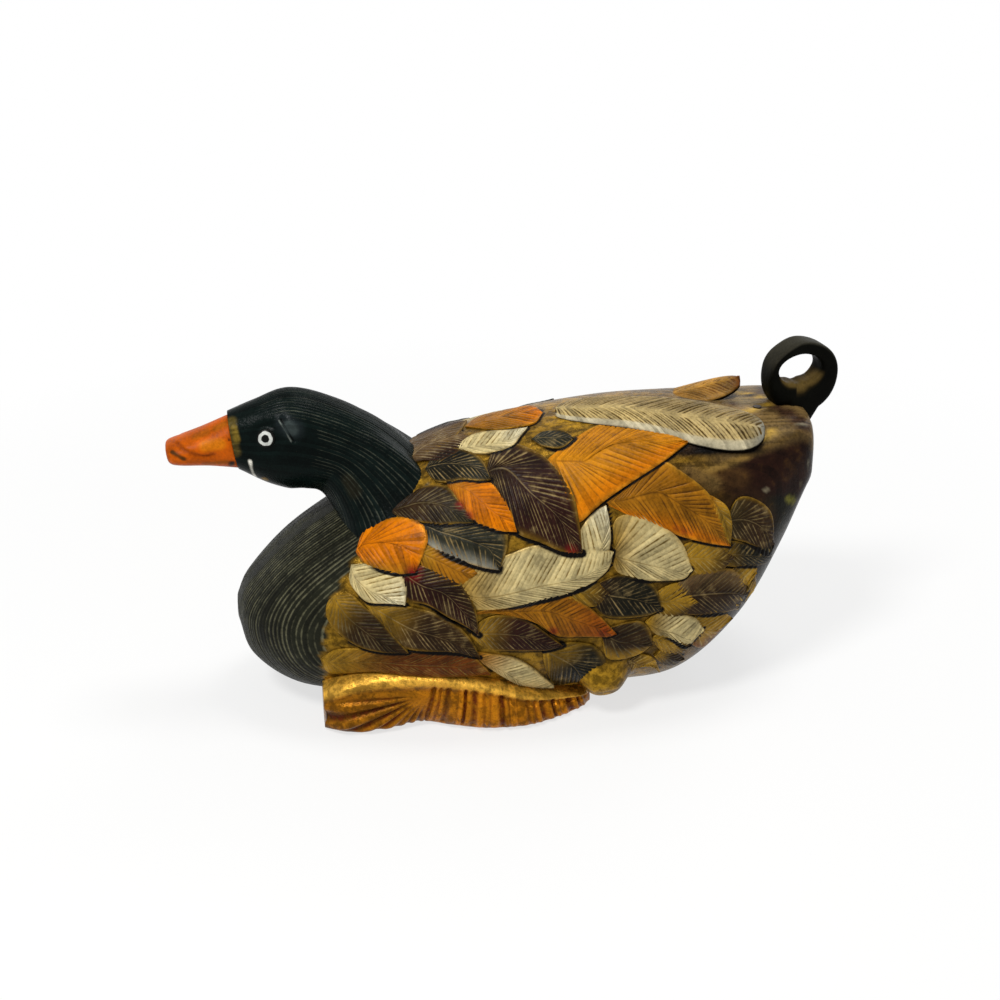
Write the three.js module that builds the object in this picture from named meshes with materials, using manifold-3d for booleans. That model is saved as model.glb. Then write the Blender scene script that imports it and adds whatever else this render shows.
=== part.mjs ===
// A wooden duck decoy: a hollowed body glued up from two halves, with a separate head, bill, eyes,
// wing tips, tail curl and feet, and the dowels, screws and nail that hold them.
// Millimetres, +Z up. The duck looks along -X, its left side is -Y, and it stands on the floor at Z = 0.
import * as THREE from "three";
import { mergeVertices } from "three/addons/utils/BufferGeometryUtils.js";
import Module from "manifold-3d";

const wasm = await Module();
wasm.setup();

// Driving dimensions.
const GAP = 0.3; // glue and paint between two pieces

const BODY_LENGTH = 258.5;
const BODY_WIDTH = 118;
const BODY_HEIGHT = 128; // belly to back
const BELLY_CLEARANCE = 3; // floor to belly
const SEAM_HEIGHT = 56; // floor to the glued joint of the two halves
const HOLLOW_FRONT_WALL = 74;
const HOLLOW_REAR_WALL = 54.5;
const HOLLOW_SIDE_WALL = 19;
const HOLLOW_FLOOR_WALL = 14;

const BODY_DOWEL_DIAMETER = 8;
const BODY_DOWEL_LENGTH = 24;
const FRONT_DOWEL_BEHIND_BREAST = 46;
const REAR_DOWEL_BEFORE_TAIL_END = 43;

const NECK_BEHIND_BREAST = 69; // breast to the root of the neck
const NECK_SINK = 19; // back line down to the root of the neck
const HEAD_REACH = 66.5; // root of the neck to the bill
const HEAD_RISE = 37;
const HEAD_DEPTH = 44; // crown to chin
const HEAD_WIDTH = 35;
const NECK_DOWEL_DIAMETER = 12;
const NECK_DOWEL_LENGTH = 44;

const BILL_LENGTH = 29.5;
const BILL_DEPTH = 24;
const BILL_WIDTH = 21;
const BILL_DROP = 3.5;
const BILL_TENON_DIAMETER = 9;
const BILL_TENON_LENGTH = 11;
const BILL_TENON_ROOT = 8; // length of the tenon inside the bill, where the two are one piece

const EYE_DIAMETER = 8;
const EYE_CROWN = 1.6; // how far the eye stands out of the cheek at its middle
const EYE_RIM = 0.6; // and at its rim
const EYE_SEAT_DEPTH = 1.2;
const EYE_SHANK_DIAMETER = 2.5;
const EYE_SHANK_LENGTH = 8;
const EYE_BEHIND_BILL = 14.5;
const EYE_ANGLE = 70; // degrees round from the crown

const WING_TIP_LENGTH = 92;
const WING_TIP_THICKNESS = 4;
const WING_TIP_EDGE = 2.4; // thickness along the edges
const WING_TIP_LIFT = 3.5; // how far the free tip curls up from the back
const WING_TIP_FREE_LENGTH = 41;
const WING_TIP_BEFORE_TAIL_END = 29;

// Each wing tip: how far its root and its tip lie from the middle of the back, out to its own side,
// and how far it reaches to its inner and its outer edge. The left one lies over the ridge of the back.
const LEFT_WING_TIP = { rootOffset: -4, tipOffset: 28.8, inner: 15, outer: 12.5 };
const RIGHT_WING_TIP = { rootOffset: 16, tipOffset: 8, inner: 12, outer: 13 };
const TONGUE_LENGTH = 22;
const TONGUE_WIDTH = 9;
const TONGUE_THICKNESS = 3;
const TONGUE_SLOPE = 25; // degrees

const CURL_LENGTH = 34; // across the round of the curl
const CURL_RISE = 28.8; // back of the tail to the top of the curl
const CURL_WIDTH = 12; // width of the bent band
const CURL_HOLE_LENGTH = 22.5;
const CURL_HOLE_HEIGHT = 17.5;
const CURL_CROWN_WALL = 4.2; // thickness of the band over the hole
const CURL_FRONT_WALL = 4.3; // thickness of the band in front of the hole
const CURL_ROUND_DIP = 42; // degrees that the round of the curl runs on below its middle, each side
const CURL_ROOT_LENGTH = 13;
const CURL_TURN = 10; // degrees that the left opening of the curl is turned towards the tail end
const CURL_BEFORE_TAIL_END = 4.3; // middle of the curl to the end of the tail
const TANG_LENGTH = 38;
const TANG_THICKNESS = 7;
const TANG_SLOPE = 35; // degrees
const NAIL_LENGTH = 27;
const NAIL_DIAMETER = 1.8;
const NAIL_HEAD_DIAMETER = 3.6;
const NAIL_HEAD_THICKNESS = 0.9;
const NAIL_BEFORE_TAIL_END = 25;
const NAIL_OFFSET = 7; // to the left of the middle

const FOOT_LENGTH = 118;
const FOOT_HEIGHT = 30.5;
const FOOT_DEPTH = 38; // side of the body to the hidden inner edge of the foot
const FOOT_SWELL = 1.5; // how far the outer face swells
const FOOT_BEHIND_BREAST = 37;
const SCREW_LENGTH = 28;
const SCREW_DIAMETER = 4;
const SCREW_HEAD_DIAMETER = 8;
const SCREW_HEAD_DEPTH = 2.6;
const SCREW_SINK = 1; // floor to the screw head
const SCREW_INSET = 22; // side of the body to the screws
const SCREWS_BEHIND_FOOT_FRONT = [30, 88];

const FEATHER_THICKNESS = 2.5; // how far the tip of a carved feather stands out of the body
const FEATHER_ROOT_THICKNESS = 0.5;
const FEATHER_SEAT = 2; // how far its underside lies inside the body

// Lines of the body, breast to tail: how far along, then the heights of the back, the belly and the
// widest level, the half width, and how square the section is above and below (2 is an ellipse).
const BODY_LINES = [
  [0.0, 0.328, 0.297, 0.312, 0.034, 2.0, 2.0],
  [0.023, 0.438, 0.152, 0.312, 0.339, 2.0, 2.0],
  [0.093, 0.578, 0.051, 0.328, 0.636, 2.0, 2.1],
  [0.197, 0.707, 0.016, 0.352, 0.814, 2.0, 2.2],
  [0.325, 0.867, 0.0, 0.391, 0.949, 2.0, 2.3],
  [0.48, 0.961, 0.0, 0.422, 1.0, 2.1, 2.4],
  [0.634, 1.0, 0.0, 0.453, 0.966, 2.3, 2.5],
  [0.762, 1.0, 0.008, 0.508, 0.89, 2.6, 2.3],
  [0.87, 0.985, 0.164, 0.602, 0.763, 3.2, 1.9],
  [0.936, 0.98, 0.406, 0.727, 0.627, 4.0, 1.8],
  [0.975, 0.975, 0.633, 0.789, 0.525, 4.5, 1.7],
  [0.992, 0.965, 0.68, 0.797, 0.407, 4.0, 1.8],
  [1.0, 0.93, 0.734, 0.805, 0.203, 3.0, 2.0],
];

// The main carved feathers of the left side, which the right side mirrors: how far behind the breast
// and how many degrees above the widest level the root lies, the same for the tip, then the width.
const FEATHERS = [
  [155, -35, 180, -60, 20],
  [170, -30, 195, -55, 18],
  [180, -20, 205, -45, 18],
  [195, -18, 220, -40, 20],
  [155, -12, 182, -27, 24],
  [175, -7, 202, -27, 15],
  [212, -5, 235, -45, 18],
  [185, 0, 222, -30, 24],
  [200, 7, 238, -42, 18],
  [207, 17, 240, -40, 26],
  [195, 40, 213, 5, 15],
  [160, 40, 210, 5, 28],
  [150, 6, 180, -5, 22],
  [160, 25, 195, 2, 25],
  [130, -15, 160, -55, 30],
  [107, -17, 137, -54, 15],
  [100, -2, 135, -11, 18],
  [105, 5, 158, -7, 21],
  [40, -19, 104, -26, 18],
  [56, 17, 100, -12, 21],
  [40, 24, 68, -7, 24],
  [95, 15, 160, 29, 30],
  [140, 55, 192, 56, 40],
  [72, 26, 100, 0, 20],
  [46, 37, 71, 15, 18],
  [82, 45, 112, 22, 21],
  [112, 68, 145, 22, 34],
  [94, 58, 118, 33, 18],
  [54, 44, 85, 29, 26],
  [70, 56, 97, 45, 19],
  [106, 86, 139, 86, 14],
  [84, 72, 111, 57, 20],
  [90, 80, 130, 78, 20],
];

// Width of a carved feather along its length, and the thickness of its edges beside that of its middle.
const FEATHER_LINES = [
  [0.0, 0.25],
  [0.25, 0.8],
  [0.6, 1.0],
  [0.88, 0.65],
  [1.0, 0.15],
];
const FEATHER_EDGE_SHARE = 0.85;

// Lines of the neck and head, root to bill: how far forward and up, the tilt of the spine in degrees,
// the depth and the width.
const HEAD_LINES = [
  [0.0, 0.0, 68, 0.909, 1.2],
  [0.09, 0.351, 58, 0.886, 1.086],
  [0.256, 0.703, 40, 0.864, 1.0],
  [0.451, 0.878, 20, 0.932, 1.0],
  [0.647, 0.959, 4, 1.0, 0.943],
  [0.827, 0.973, -4, 0.795, 0.8],
  [1.0, 0.986, -8, 0.568, 0.629],
];

// Lines of the bill, base to tip: how far forward and down, the tilt, the depth and the width.
const BILL_LINES = [
  [0.0, 0.0, -8, 1.0, 1.0],
  [0.42, 0.43, -9, 0.71, 1.0],
  [0.8, 0.86, -10, 0.5, 1.0],
  [0.97, 1.0, -10, 0.38, 0.76],
  [1.0, 1.0, -10, 0.13, 0.29],
];

// Lines of a foot, toes to heel: how far back, the height, then how far the lower and the upper edge
// of the outer face lie inside the widest line of the body, in millimetres.
const FOOT_LINES = [
  [0.0, 0.82, 15, 13.5],
  [0.1, 0.95, 11.5, 11],
  [0.23, 1.0, 13, 8.5],
  [0.36, 0.98, 18, 6],
  [0.46, 0.95, 13, 5],
  [0.59, 0.85, 7.5, 4],
  [0.74, 0.6, 8, 6],
  [0.86, 0.42, 14, 12.5],
  [0.96, 0.33, 22, 17],
  [1.0, 0.24, 28, 25],
];

// Width of a wing tip along its length.
const WING_TIP_LINES = [
  [0.0, 0.45],
  [0.2, 0.75],
  [0.45, 0.97],
  [0.75, 1.0],
  [0.92, 0.72],
  [1.0, 0.3],
];

// Where the outer face of a foot swells, as shares of its height.
const FOOT_SWELL_LEVELS = [0.8, 0.35];

const BODY_SIDES = 32;
const BODY_RINGS = 36;
const HEAD_SIDES = 20;
const HEAD_RINGS = 20;
const BILL_RINGS = 10;
const FOOT_RINGS = 18;
const WING_TIP_RINGS = 12;
const WING_TIP_STRIPS = 4;
const PIN_SIDES = 16;
const CURL_SEGMENTS = 22;
const DOME_STEPS = 3;

// The body runs along X from the breast, and the whole part is centred on its own length at the end.
const SIDE = BODY_WIDTH / 2;
const BODY_TOP = BELLY_CLEARANCE + BODY_HEIGHT;
const radians = THREE.MathUtils.degToRad;
const lerp = THREE.MathUtils.lerp;

// A row of a table between two of its rows, on a smooth curve through all of them.
function rowAt(table, u) {
  const last = table.length - 1;
  const i = Math.min(Math.floor(u), last - 1);
  const t = u - i;
  return table[i].map((value, k) => {
    const next = table[i + 1][k];
    const before = i > 0 ? table[i - 1][k] : 2 * value - next;
    const after = i + 1 < last ? table[i + 2][k] : 2 * next - value;
    const slope = (next - before) / 2;
    const nextSlope = (after - value) / 2;
    const rise = next - value;
    return value + slope * t + (3 * rise - 2 * slope - nextSlope) * t ** 2
      + (slope + nextSlope - 2 * rise) * t ** 3;
  });
}

// Where between two bounds a rising quantity reaches zero.
function findZero(quantity, low, high) {
  for (let step = 0; step < 40; step++) {
    const middle = (low + high) / 2;
    if (quantity(middle) < 0) low = middle;
    else high = middle;
  }
  return (low + high) / 2;
}

// Where along a table its first column reaches a value.
function findRow(table, value) {
  return findZero((u) => rowAt(table, u)[0] - value, 0, table.length - 1);
}

// Closed skin over rings of points, each ring turning right-handed about the way the rings advance.
function loft(rings, startPoint, endPoint) {
  const sides = rings[0].length;
  const points = [...rings.flat(), startPoint, endPoint];
  const start = points.length - 2;
  const end = points.length - 1;
  const lastRing = (rings.length - 1) * sides;
  const index = [];
  for (let j = 0; j < sides; j++) {
    const k = (j + 1) % sides;
    for (let row = 0; row < lastRing; row += sides) {
      index.push(row + j, row + k, row + sides + k, row + j, row + sides + k, row + sides + j);
    }
    index.push(start, k, j, end, lastRing + j, lastRing + k);
  }
  const geometry = new THREE.BufferGeometry().setFromPoints(points);
  geometry.setIndex(index);
  return geometry;
}

function middleOf(ring) {
  const sum = ring.reduce((total, point) => total.add(point), new THREE.Vector3());
  return sum.divideScalar(ring.length);
}

function mirrored(geometry) {
  const copy = geometry.clone().scale(1, -1, 1);
  const index = copy.index.array;
  for (let i = 0; i < index.length; i += 3) [index[i], index[i + 1]] = [index[i + 1], index[i]];
  return copy;
}

function toSolid(geometry) {
  const bare = geometry.clone();
  bare.deleteAttribute("normal");
  bare.deleteAttribute("uv");
  const merged = mergeVertices(bare, 1e-4);
  const vertProperties = merged.attributes.position.array;
  const triVerts = new Uint32Array(merged.index.array);
  return new wasm.Manifold(new wasm.Mesh({ numProp: 3, vertProperties, triVerts }));
}

function toGeometry(solid) {
  const mesh = solid.getMesh();
  const geometry = new THREE.BufferGeometry();
  geometry.setAttribute("position", new THREE.BufferAttribute(mesh.vertProperties, 3));
  geometry.setIndex(new THREE.BufferAttribute(mesh.triVerts, 1));
  geometry.computeVertexNormals();
  return geometry;
}

function paint(color, roughness, metalness = 0) {
  return new THREE.MeshStandardMaterial({ color, roughness, metalness });
}

const featherPaint = paint(0x8a6a2c, 0.5);
const headPaint = paint(0x1b2320, 0.4);
const billPaint = paint(0xc8501a, 0.4);
const eyePaint = paint(0xe8e4d4, 0.25);
const curlPaint = paint(0x38332a, 0.55);
const goldPaint = paint(0x9c7420, 0.4, 0.3);
const bareWood = paint(0xc9a26a, 0.7);
const steel = paint(0x8c8c88, 0.4, 0.9);

const duck = new THREE.Group();

function addPiece(name, geometry, material) {
  const mesh = new THREE.Mesh(geometry, material);
  mesh.name = name;
  duck.add(mesh);
  return mesh;
}

// A section of the body in millimetres, grown outwards to cut a clear seat in what meets it.
function bodySection(u, grow = 0) {
  const [along, top, bottom, widest, width, squareTop, squareBottom] = rowAt(BODY_LINES, u);
  return {
    x: along * BODY_LENGTH + (2 * along - 1) * grow,
    top: BELLY_CLEARANCE + top * BODY_HEIGHT + grow,
    bottom: BELLY_CLEARANCE + bottom * BODY_HEIGHT - grow,
    widest: BELLY_CLEARANCE + widest * BODY_HEIGHT,
    width: width * SIDE + grow,
    squareTop,
    squareBottom,
  };
}

// A point on a section, at an angle that runs from the right side over the back to the left side.
function sectionPoint(section, angle) {
  const across = Math.cos(angle);
  const up = Math.sin(angle);
  const power = 2 / (up >= 0 ? section.squareTop : section.squareBottom);
  const reach = up >= 0 ? section.top - section.widest : section.widest - section.bottom;
  const y = section.width * Math.sign(across) * Math.abs(across) ** power;
  const z = section.widest + reach * Math.sign(up) * Math.abs(up) ** power;
  return new THREE.Vector3(section.x, y, z);
}

function bodySolid(grow = 0) {
  const rings = [];
  for (let i = 0; i <= BODY_RINGS; i++) {
    const section = bodySection((i / BODY_RINGS) * (BODY_LINES.length - 1), grow);
    const angles = Array.from({ length: BODY_SIDES }, (_, j) => (j / BODY_SIDES) * 2 * Math.PI);
    rings.push(angles.map((angle) => sectionPoint(section, angle)));
  }
  return toSolid(loft(rings, middleOf(rings[0]), middleOf(rings[BODY_RINGS])));
}

// Height of the back at a place on it.
function backHeight(x, y) {
  const section = bodySection(findRow(BODY_LINES, x / BODY_LENGTH));
  const share = Math.min(Math.abs(y) / section.width, 1) ** section.squareTop;
  return section.widest + (section.top - section.widest) * (1 - share) ** (1 / section.squareTop);
}

// Half width of the body at a place along it, at the level of the glued joint.
function seamHalfWidth(x) {
  const section = bodySection(findRow(BODY_LINES, x / BODY_LENGTH));
  const above = SEAM_HEIGHT >= section.widest;
  const reach = above ? section.top - section.widest : section.widest - section.bottom;
  const square = above ? section.squareTop : section.squareBottom;
  const share = Math.min(Math.abs(SEAM_HEIGHT - section.widest) / reach, 1) ** square;
  return section.width * (1 - share) ** (1 / square);
}

// A turned pin along +Y from a profile of radius and height, and a plain round pin or hole.
function turned(profile) {
  return new THREE.LatheGeometry(profile.map(([radius, y]) => new THREE.Vector2(radius, y)), PIN_SIDES);
}

function roundPin(diameter, length) {
  return new THREE.CylinderGeometry(diameter / 2, diameter / 2, length, PIN_SIDES);
}

// Turns a pin made along +Y to a direction, and puts its own origin at a place.
function place(geometry, direction, position) {
  const turn = new THREE.Quaternion().setFromUnitVectors(new THREE.Vector3(0, 1, 0), direction);
  return geometry.applyQuaternion(turn).translate(position.x, position.y, position.z);
}

const UP = new THREE.Vector3(0, 0, 1);
const grownBody = bodySolid(GAP);

// Four dowels that line up the halves: one in the breast, one in the tail, one in each side wall.
const hollowLength = BODY_LENGTH - HOLLOW_FRONT_WALL - HOLLOW_REAR_WALL;
const hollowMiddle = HOLLOW_FRONT_WALL + hollowLength / 2;
const hollowWidth = BODY_WIDTH - 2 * HOLLOW_SIDE_WALL;
const hollowHeight = 2 * (SEAM_HEIGHT - BELLY_CLEARANCE - HOLLOW_FLOOR_WALL);
const sideDowelOffset = (hollowWidth / 2 + seamHalfWidth(hollowMiddle)) / 2;
const bodyDowels = [
  ["body_dowel_front", FRONT_DOWEL_BEHIND_BREAST, 0],
  ["body_dowel_rear", BODY_LENGTH - REAR_DOWEL_BEFORE_TAIL_END, 0],
  ["body_dowel_left", hollowMiddle, -sideDowelOffset],
  ["body_dowel_right", hollowMiddle, sideDowelOffset],
];
const bodyHoles = bodyDowels.map(([name, x, y]) => {
  const at = new THREE.Vector3(x, y, SEAM_HEIGHT);
  addPiece(name, place(roundPin(BODY_DOWEL_DIAMETER, BODY_DOWEL_LENGTH), UP, at), bareWood);
  return toSolid(place(roundPin(BODY_DOWEL_DIAMETER + 2 * GAP, BODY_DOWEL_LENGTH + 2 * GAP), UP, at));
});

// Neck and head, a tube that grows out of the back and is coped to it, with a flat face for the bill.
const neckRow = findRow(BODY_LINES, NECK_BEHIND_BREAST / BODY_LENGTH);
const neckRoot = new THREE.Vector3(NECK_BEHIND_BREAST, 0, bodySection(neckRow).top - NECK_SINK);

function headFrame(u) {
  const [forward, rise, tilt, depth, width] = rowAt(HEAD_LINES, u);
  const lean = radians(tilt);
  return {
    middle: new THREE.Vector3(-forward * HEAD_REACH, 0, rise * HEAD_RISE).add(neckRoot),
    spine: new THREE.Vector3(-Math.cos(lean), 0, Math.sin(lean)),
    crown: new THREE.Vector3(Math.sin(lean), 0, Math.cos(lean)),
    depth: depth * HEAD_DEPTH,
    width: width * HEAD_WIDTH,
  };
}

function ovalPoint(frame, angle) {
  const point = frame.middle.clone().addScaledVector(frame.crown, (frame.depth / 2) * Math.cos(angle));
  point.y += (frame.width / 2) * Math.sin(angle);
  return point;
}

function ovalRing(frame) {
  const angles = Array.from({ length: HEAD_SIDES }, (_, j) => (j / HEAD_SIDES) * 2 * Math.PI);
  return angles.map((angle) => ovalPoint(frame, angle));
}

const headEnd = HEAD_LINES.length - 1;
const headFrames = Array.from({ length: HEAD_RINGS + 1 }, (_, i) => headFrame((i / HEAD_RINGS) * headEnd));

function headSolid(grow = 0) {
  const rings = headFrames.map((frame) =>
    ovalRing({ ...frame, depth: frame.depth + 2 * grow, width: frame.width + 2 * grow }));
  return toSolid(loft(rings, headFrames[0].middle, headFrames[HEAD_RINGS].middle));
}

let head = headSolid().subtract(grownBody);

// The neck dowel follows the spine at the root, half of it in the body and half in the neck.
const neckAxis = headFrames[0].spine;
const aboveBack = (s) => neckRoot.z + s * neckAxis.z - backHeight(neckRoot.x + s * neckAxis.x, 0);
const dowelMiddle = neckRoot.clone().addScaledVector(neckAxis, findZero(aboveBack, 0, HEAD_RISE));
const neckHole = toSolid(
  place(roundPin(NECK_DOWEL_DIAMETER + 2 * GAP, NECK_DOWEL_LENGTH + 2 * GAP), neckAxis, dowelMiddle),
);
const neckDowel = place(roundPin(NECK_DOWEL_DIAMETER, NECK_DOWEL_LENGTH), neckAxis, dowelMiddle);
addPiece("neck_dowel", neckDowel, bareWood);
head = head.subtract(neckHole);
bodyHoles.push(neckHole);

// The bill, with a round tenon glued into the face of the head.
const billFace = headFrame(headEnd);
const billBase = billFace.middle.clone().addScaledVector(billFace.spine, GAP);
const billFrames = Array.from({ length: BILL_RINGS + 1 }, (_, i) => {
  const [forward, drop, tilt, depth, width] = rowAt(BILL_LINES, (i / BILL_RINGS) * (BILL_LINES.length - 1));
  const lean = radians(tilt);
  return {
    middle: new THREE.Vector3(-forward * BILL_LENGTH, 0, -drop * BILL_DROP).add(billBase),
    crown: new THREE.Vector3(Math.sin(lean), 0, Math.cos(lean)),
    depth: depth * BILL_DEPTH,
    width: width * BILL_WIDTH,
  };
});
const billLoft = loft(billFrames.map(ovalRing), billFrames[0].middle, billFrames[BILL_RINGS].middle);
function billTenon(clearance) {
  const length = BILL_TENON_LENGTH + BILL_TENON_ROOT;
  const middle = billBase.clone().addScaledVector(billFace.spine, BILL_TENON_ROOT - length / 2);
  return toSolid(
    place(roundPin(BILL_TENON_DIAMETER + 2 * clearance, length + 2 * clearance), billFace.spine, middle));
}

addPiece("bill", toGeometry(toSolid(billLoft).add(billTenon(0))), billPaint);
head = head.subtract(billTenon(GAP));

// Eyes: turned studs with a domed face, each pushed into a shallow seat in the cheek.
const eyeProfile = [
  [0, -EYE_SHANK_LENGTH],
  [EYE_SHANK_DIAMETER / 2, -EYE_SHANK_LENGTH],
  [EYE_SHANK_DIAMETER / 2, -EYE_SEAT_DEPTH],
  [EYE_DIAMETER / 2, -EYE_SEAT_DEPTH],
];
for (let i = 0; i < DOME_STEPS; i++) {
  const turn = (i / DOME_STEPS) * (Math.PI / 2);
  eyeProfile.push([(EYE_DIAMETER / 2) * Math.cos(turn), lerp(EYE_RIM, EYE_CROWN, Math.sin(turn))]);
}
eyeProfile.push([0, EYE_CROWN]);

const eyeRow = findRow(HEAD_LINES, 1 - EYE_BEHIND_BILL / HEAD_REACH);
for (const [name, side] of [["eye_left", -1], ["eye_right", 1]]) {
  const angle = side * radians(EYE_ANGLE);
  const step = 0.01; // a small step along and round the head, to find which way the cheek faces
  const at = ovalPoint(headFrame(eyeRow), angle);
  const along = ovalPoint(headFrame(eyeRow + step), angle).sub(at);
  const round = ovalPoint(headFrame(eyeRow), angle + step).sub(at);
  const outward = round.cross(along).normalize();
  addPiece(name, place(turned(eyeProfile), outward, at), eyePaint);
  const seatLength = EYE_SEAT_DEPTH + GAP + EYE_DIAMETER;
  const seatMiddle = at.clone().addScaledVector(outward, (EYE_DIAMETER - EYE_SEAT_DEPTH - GAP) / 2);
  const seat = place(roundPin(EYE_DIAMETER + 2 * GAP, seatLength), outward, seatMiddle);
  const hole = place(roundPin(EYE_SHANK_DIAMETER + 2 * GAP, 2 * (EYE_SHANK_LENGTH + GAP)), outward, at);
  head = head.subtract(toSolid(seat)).subtract(toSolid(hole));
}
addPiece("head", toGeometry(head), headPaint);

// Wing tips: long flight feathers coped to the back, free at the tip, with a tongue let into the body.
function wingTipRoot({ rootOffset, tipOffset }) {
  const splay = Math.asin((tipOffset - rootOffset) / WING_TIP_LENGTH);
  return { splay, x: BODY_LENGTH - WING_TIP_BEFORE_TAIL_END - WING_TIP_LENGTH * Math.cos(splay) };
}

// A blade as on the left side, grown outwards to cut a clear seat in what meets it.
function wingTipBlade(wingTip, grow = 0) {
  const { splay, x: rootX } = wingTipRoot(wingTip);
  const rings = [];
  for (let i = 0; i <= WING_TIP_RINGS; i++) {
    const share = i / WING_TIP_RINGS;
    const breadth = rowAt(WING_TIP_LINES, findRow(WING_TIP_LINES, share))[1];
    const along = lerp(-grow, WING_TIP_LENGTH + grow, share);
    const free = Math.max(0, 1 - (WING_TIP_LENGTH - along) / WING_TIP_FREE_LENGTH);
    const lift = WING_TIP_LIFT * free ** 2;
    const upper = [];
    const lower = [];
    for (let j = 0; j <= WING_TIP_STRIPS; j++) {
      const inward = 1 - (2 * j) / WING_TIP_STRIPS;
      const across = inward * (breadth * (inward > 0 ? wingTip.inner : wingTip.outer) + grow);
      const x = rootX + along * Math.cos(splay) + across * Math.sin(splay);
      const y = -wingTip.rootOffset - along * Math.sin(splay) + across * Math.cos(splay);
      const back = backHeight(x, y) + lift;
      const thickness = lerp(WING_TIP_THICKNESS, WING_TIP_EDGE, inward ** 2);
      upper.push(new THREE.Vector3(x, y, back + thickness + grow));
      lower.push(new THREE.Vector3(x, y, back - WING_TIP_THICKNESS / 2 - grow));
    }
    rings.push([...upper, ...lower.reverse()]);
  }
  return loft(rings, middleOf(rings[0]), middleOf(rings[WING_TIP_RINGS]));
}

function wingTipTongue(wingTip, clearance) {
  const { splay, x } = wingTipRoot(wingTip);
  const block = new THREE.BoxGeometry(
    TONGUE_LENGTH + 2 * clearance, TONGUE_WIDTH + 2 * clearance, TONGUE_THICKNESS + 2 * clearance);
  block.rotateY(-radians(TONGUE_SLOPE)).rotateZ(-splay);
  return block.translate(x, -wingTip.rootOffset, backHeight(x, -wingTip.rootOffset) - TONGUE_THICKNESS);
}

const leftTongueSlot = toSolid(wingTipTongue(LEFT_WING_TIP, GAP));
const rightTongueSlot = toSolid(mirrored(wingTipTongue(RIGHT_WING_TIP, GAP)));
const leftWingSeat = toSolid(wingTipBlade(LEFT_WING_TIP, GAP)).add(leftTongueSlot);
const rightWingSeat = toSolid(mirrored(wingTipBlade(RIGHT_WING_TIP, GAP)));
const leftWingTip = toSolid(wingTipBlade(LEFT_WING_TIP)).subtract(grownBody)
  .add(toSolid(wingTipTongue(LEFT_WING_TIP, 0)));
const rightWingTip = toSolid(mirrored(wingTipBlade(RIGHT_WING_TIP))).subtract(grownBody)
  .add(toSolid(mirrored(wingTipTongue(RIGHT_WING_TIP, 0)))).subtract(leftWingSeat);
addPiece("wing_tip_left", toGeometry(leftWingTip), featherPaint);
addPiece("wing_tip_right", toGeometry(rightWingTip), featherPaint);
bodyHoles.push(leftTongueSlot, rightTongueSlot);

// Tail curl: a bent band whose root is coped to the tail, with a sloping tang let into it.
const curlX = BODY_LENGTH - CURL_BEFORE_TAIL_END;
const tailTop = backHeight(curlX - CURL_ROOT_LENGTH / 2, 0);
const curlTop = tailTop + CURL_RISE;
const curlHalf = CURL_LENGTH / 2;
const curlTurn = radians(CURL_TURN);
const outline = new THREE.Shape();
outline.moveTo(-CURL_ROOT_LENGTH / 2, tailTop - TANG_THICKNESS);
outline.lineTo(CURL_ROOT_LENGTH / 2, tailTop - TANG_THICKNESS);
outline.lineTo(CURL_ROOT_LENGTH / 2, tailTop);
const roundDip = radians(CURL_ROUND_DIP);
outline.absarc(0, curlTop - curlHalf, curlHalf, -roundDip, Math.PI + roundDip);
outline.lineTo(-CURL_ROOT_LENGTH / 2, tailTop);
const hole = new THREE.Path();
const holeReach = CURL_HOLE_LENGTH / 2;
const holeRise = CURL_HOLE_HEIGHT / 2;
const holeX = CURL_FRONT_WALL + holeReach - curlHalf;
hole.absellipse(holeX, curlTop - CURL_CROWN_WALL - holeRise, holeReach, holeRise, 0, 2 * Math.PI, true);
outline.holes.push(hole);
const bandOptions = { depth: CURL_WIDTH, bevelEnabled: false, curveSegments: CURL_SEGMENTS };
const band = new THREE.ExtrudeGeometry(outline, bandOptions);
band.rotateX(Math.PI / 2).translate(0, CURL_WIDTH / 2, 0).rotateZ(curlTurn).translate(curlX, 0, 0);

function curlTang(clearance) {
  const block = new THREE.BoxGeometry(
    TANG_LENGTH + 2 * clearance, CURL_WIDTH + 2 * clearance, TANG_THICKNESS + 2 * clearance);
  const shift = TANG_LENGTH / 2 - TANG_THICKNESS;
  const slope = radians(TANG_SLOPE);
  block.rotateY(-slope).translate(-shift * Math.cos(slope), 0, -shift * Math.sin(slope));
  return block.rotateZ(curlTurn).translate(curlX, 0, tailTop);
}

// The nail goes straight down through the tail and the tang.
const nailX = BODY_LENGTH - NAIL_BEFORE_TAIL_END;
const nailPoint = new THREE.Vector3(nailX, -NAIL_OFFSET, backHeight(nailX, NAIL_OFFSET));
function nailProfile(clearance) {
  const head = NAIL_HEAD_DIAMETER / 2 + clearance;
  const shank = NAIL_DIAMETER / 2 + clearance;
  const under = -NAIL_HEAD_THICKNESS - clearance;
  const tip = -NAIL_LENGTH - clearance;
  const top = clearance > 0 ? NAIL_HEAD_DIAMETER : 0;
  return [[0, tip], [shank, tip + NAIL_DIAMETER], [shank, under], [head, under], [head, top], [0, top]];
}
addPiece("tail_nail", place(turned(nailProfile(0)), UP, nailPoint), steel);
const nailHole = toSolid(place(turned(nailProfile(GAP)), UP, nailPoint));
const curl = toSolid(band).subtract(grownBody).add(toSolid(curlTang(0))).subtract(nailHole);
addPiece("tail_curl", toGeometry(curl), curlPaint);
bodyHoles.push(toSolid(curlTang(GAP)), nailHole);

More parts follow.
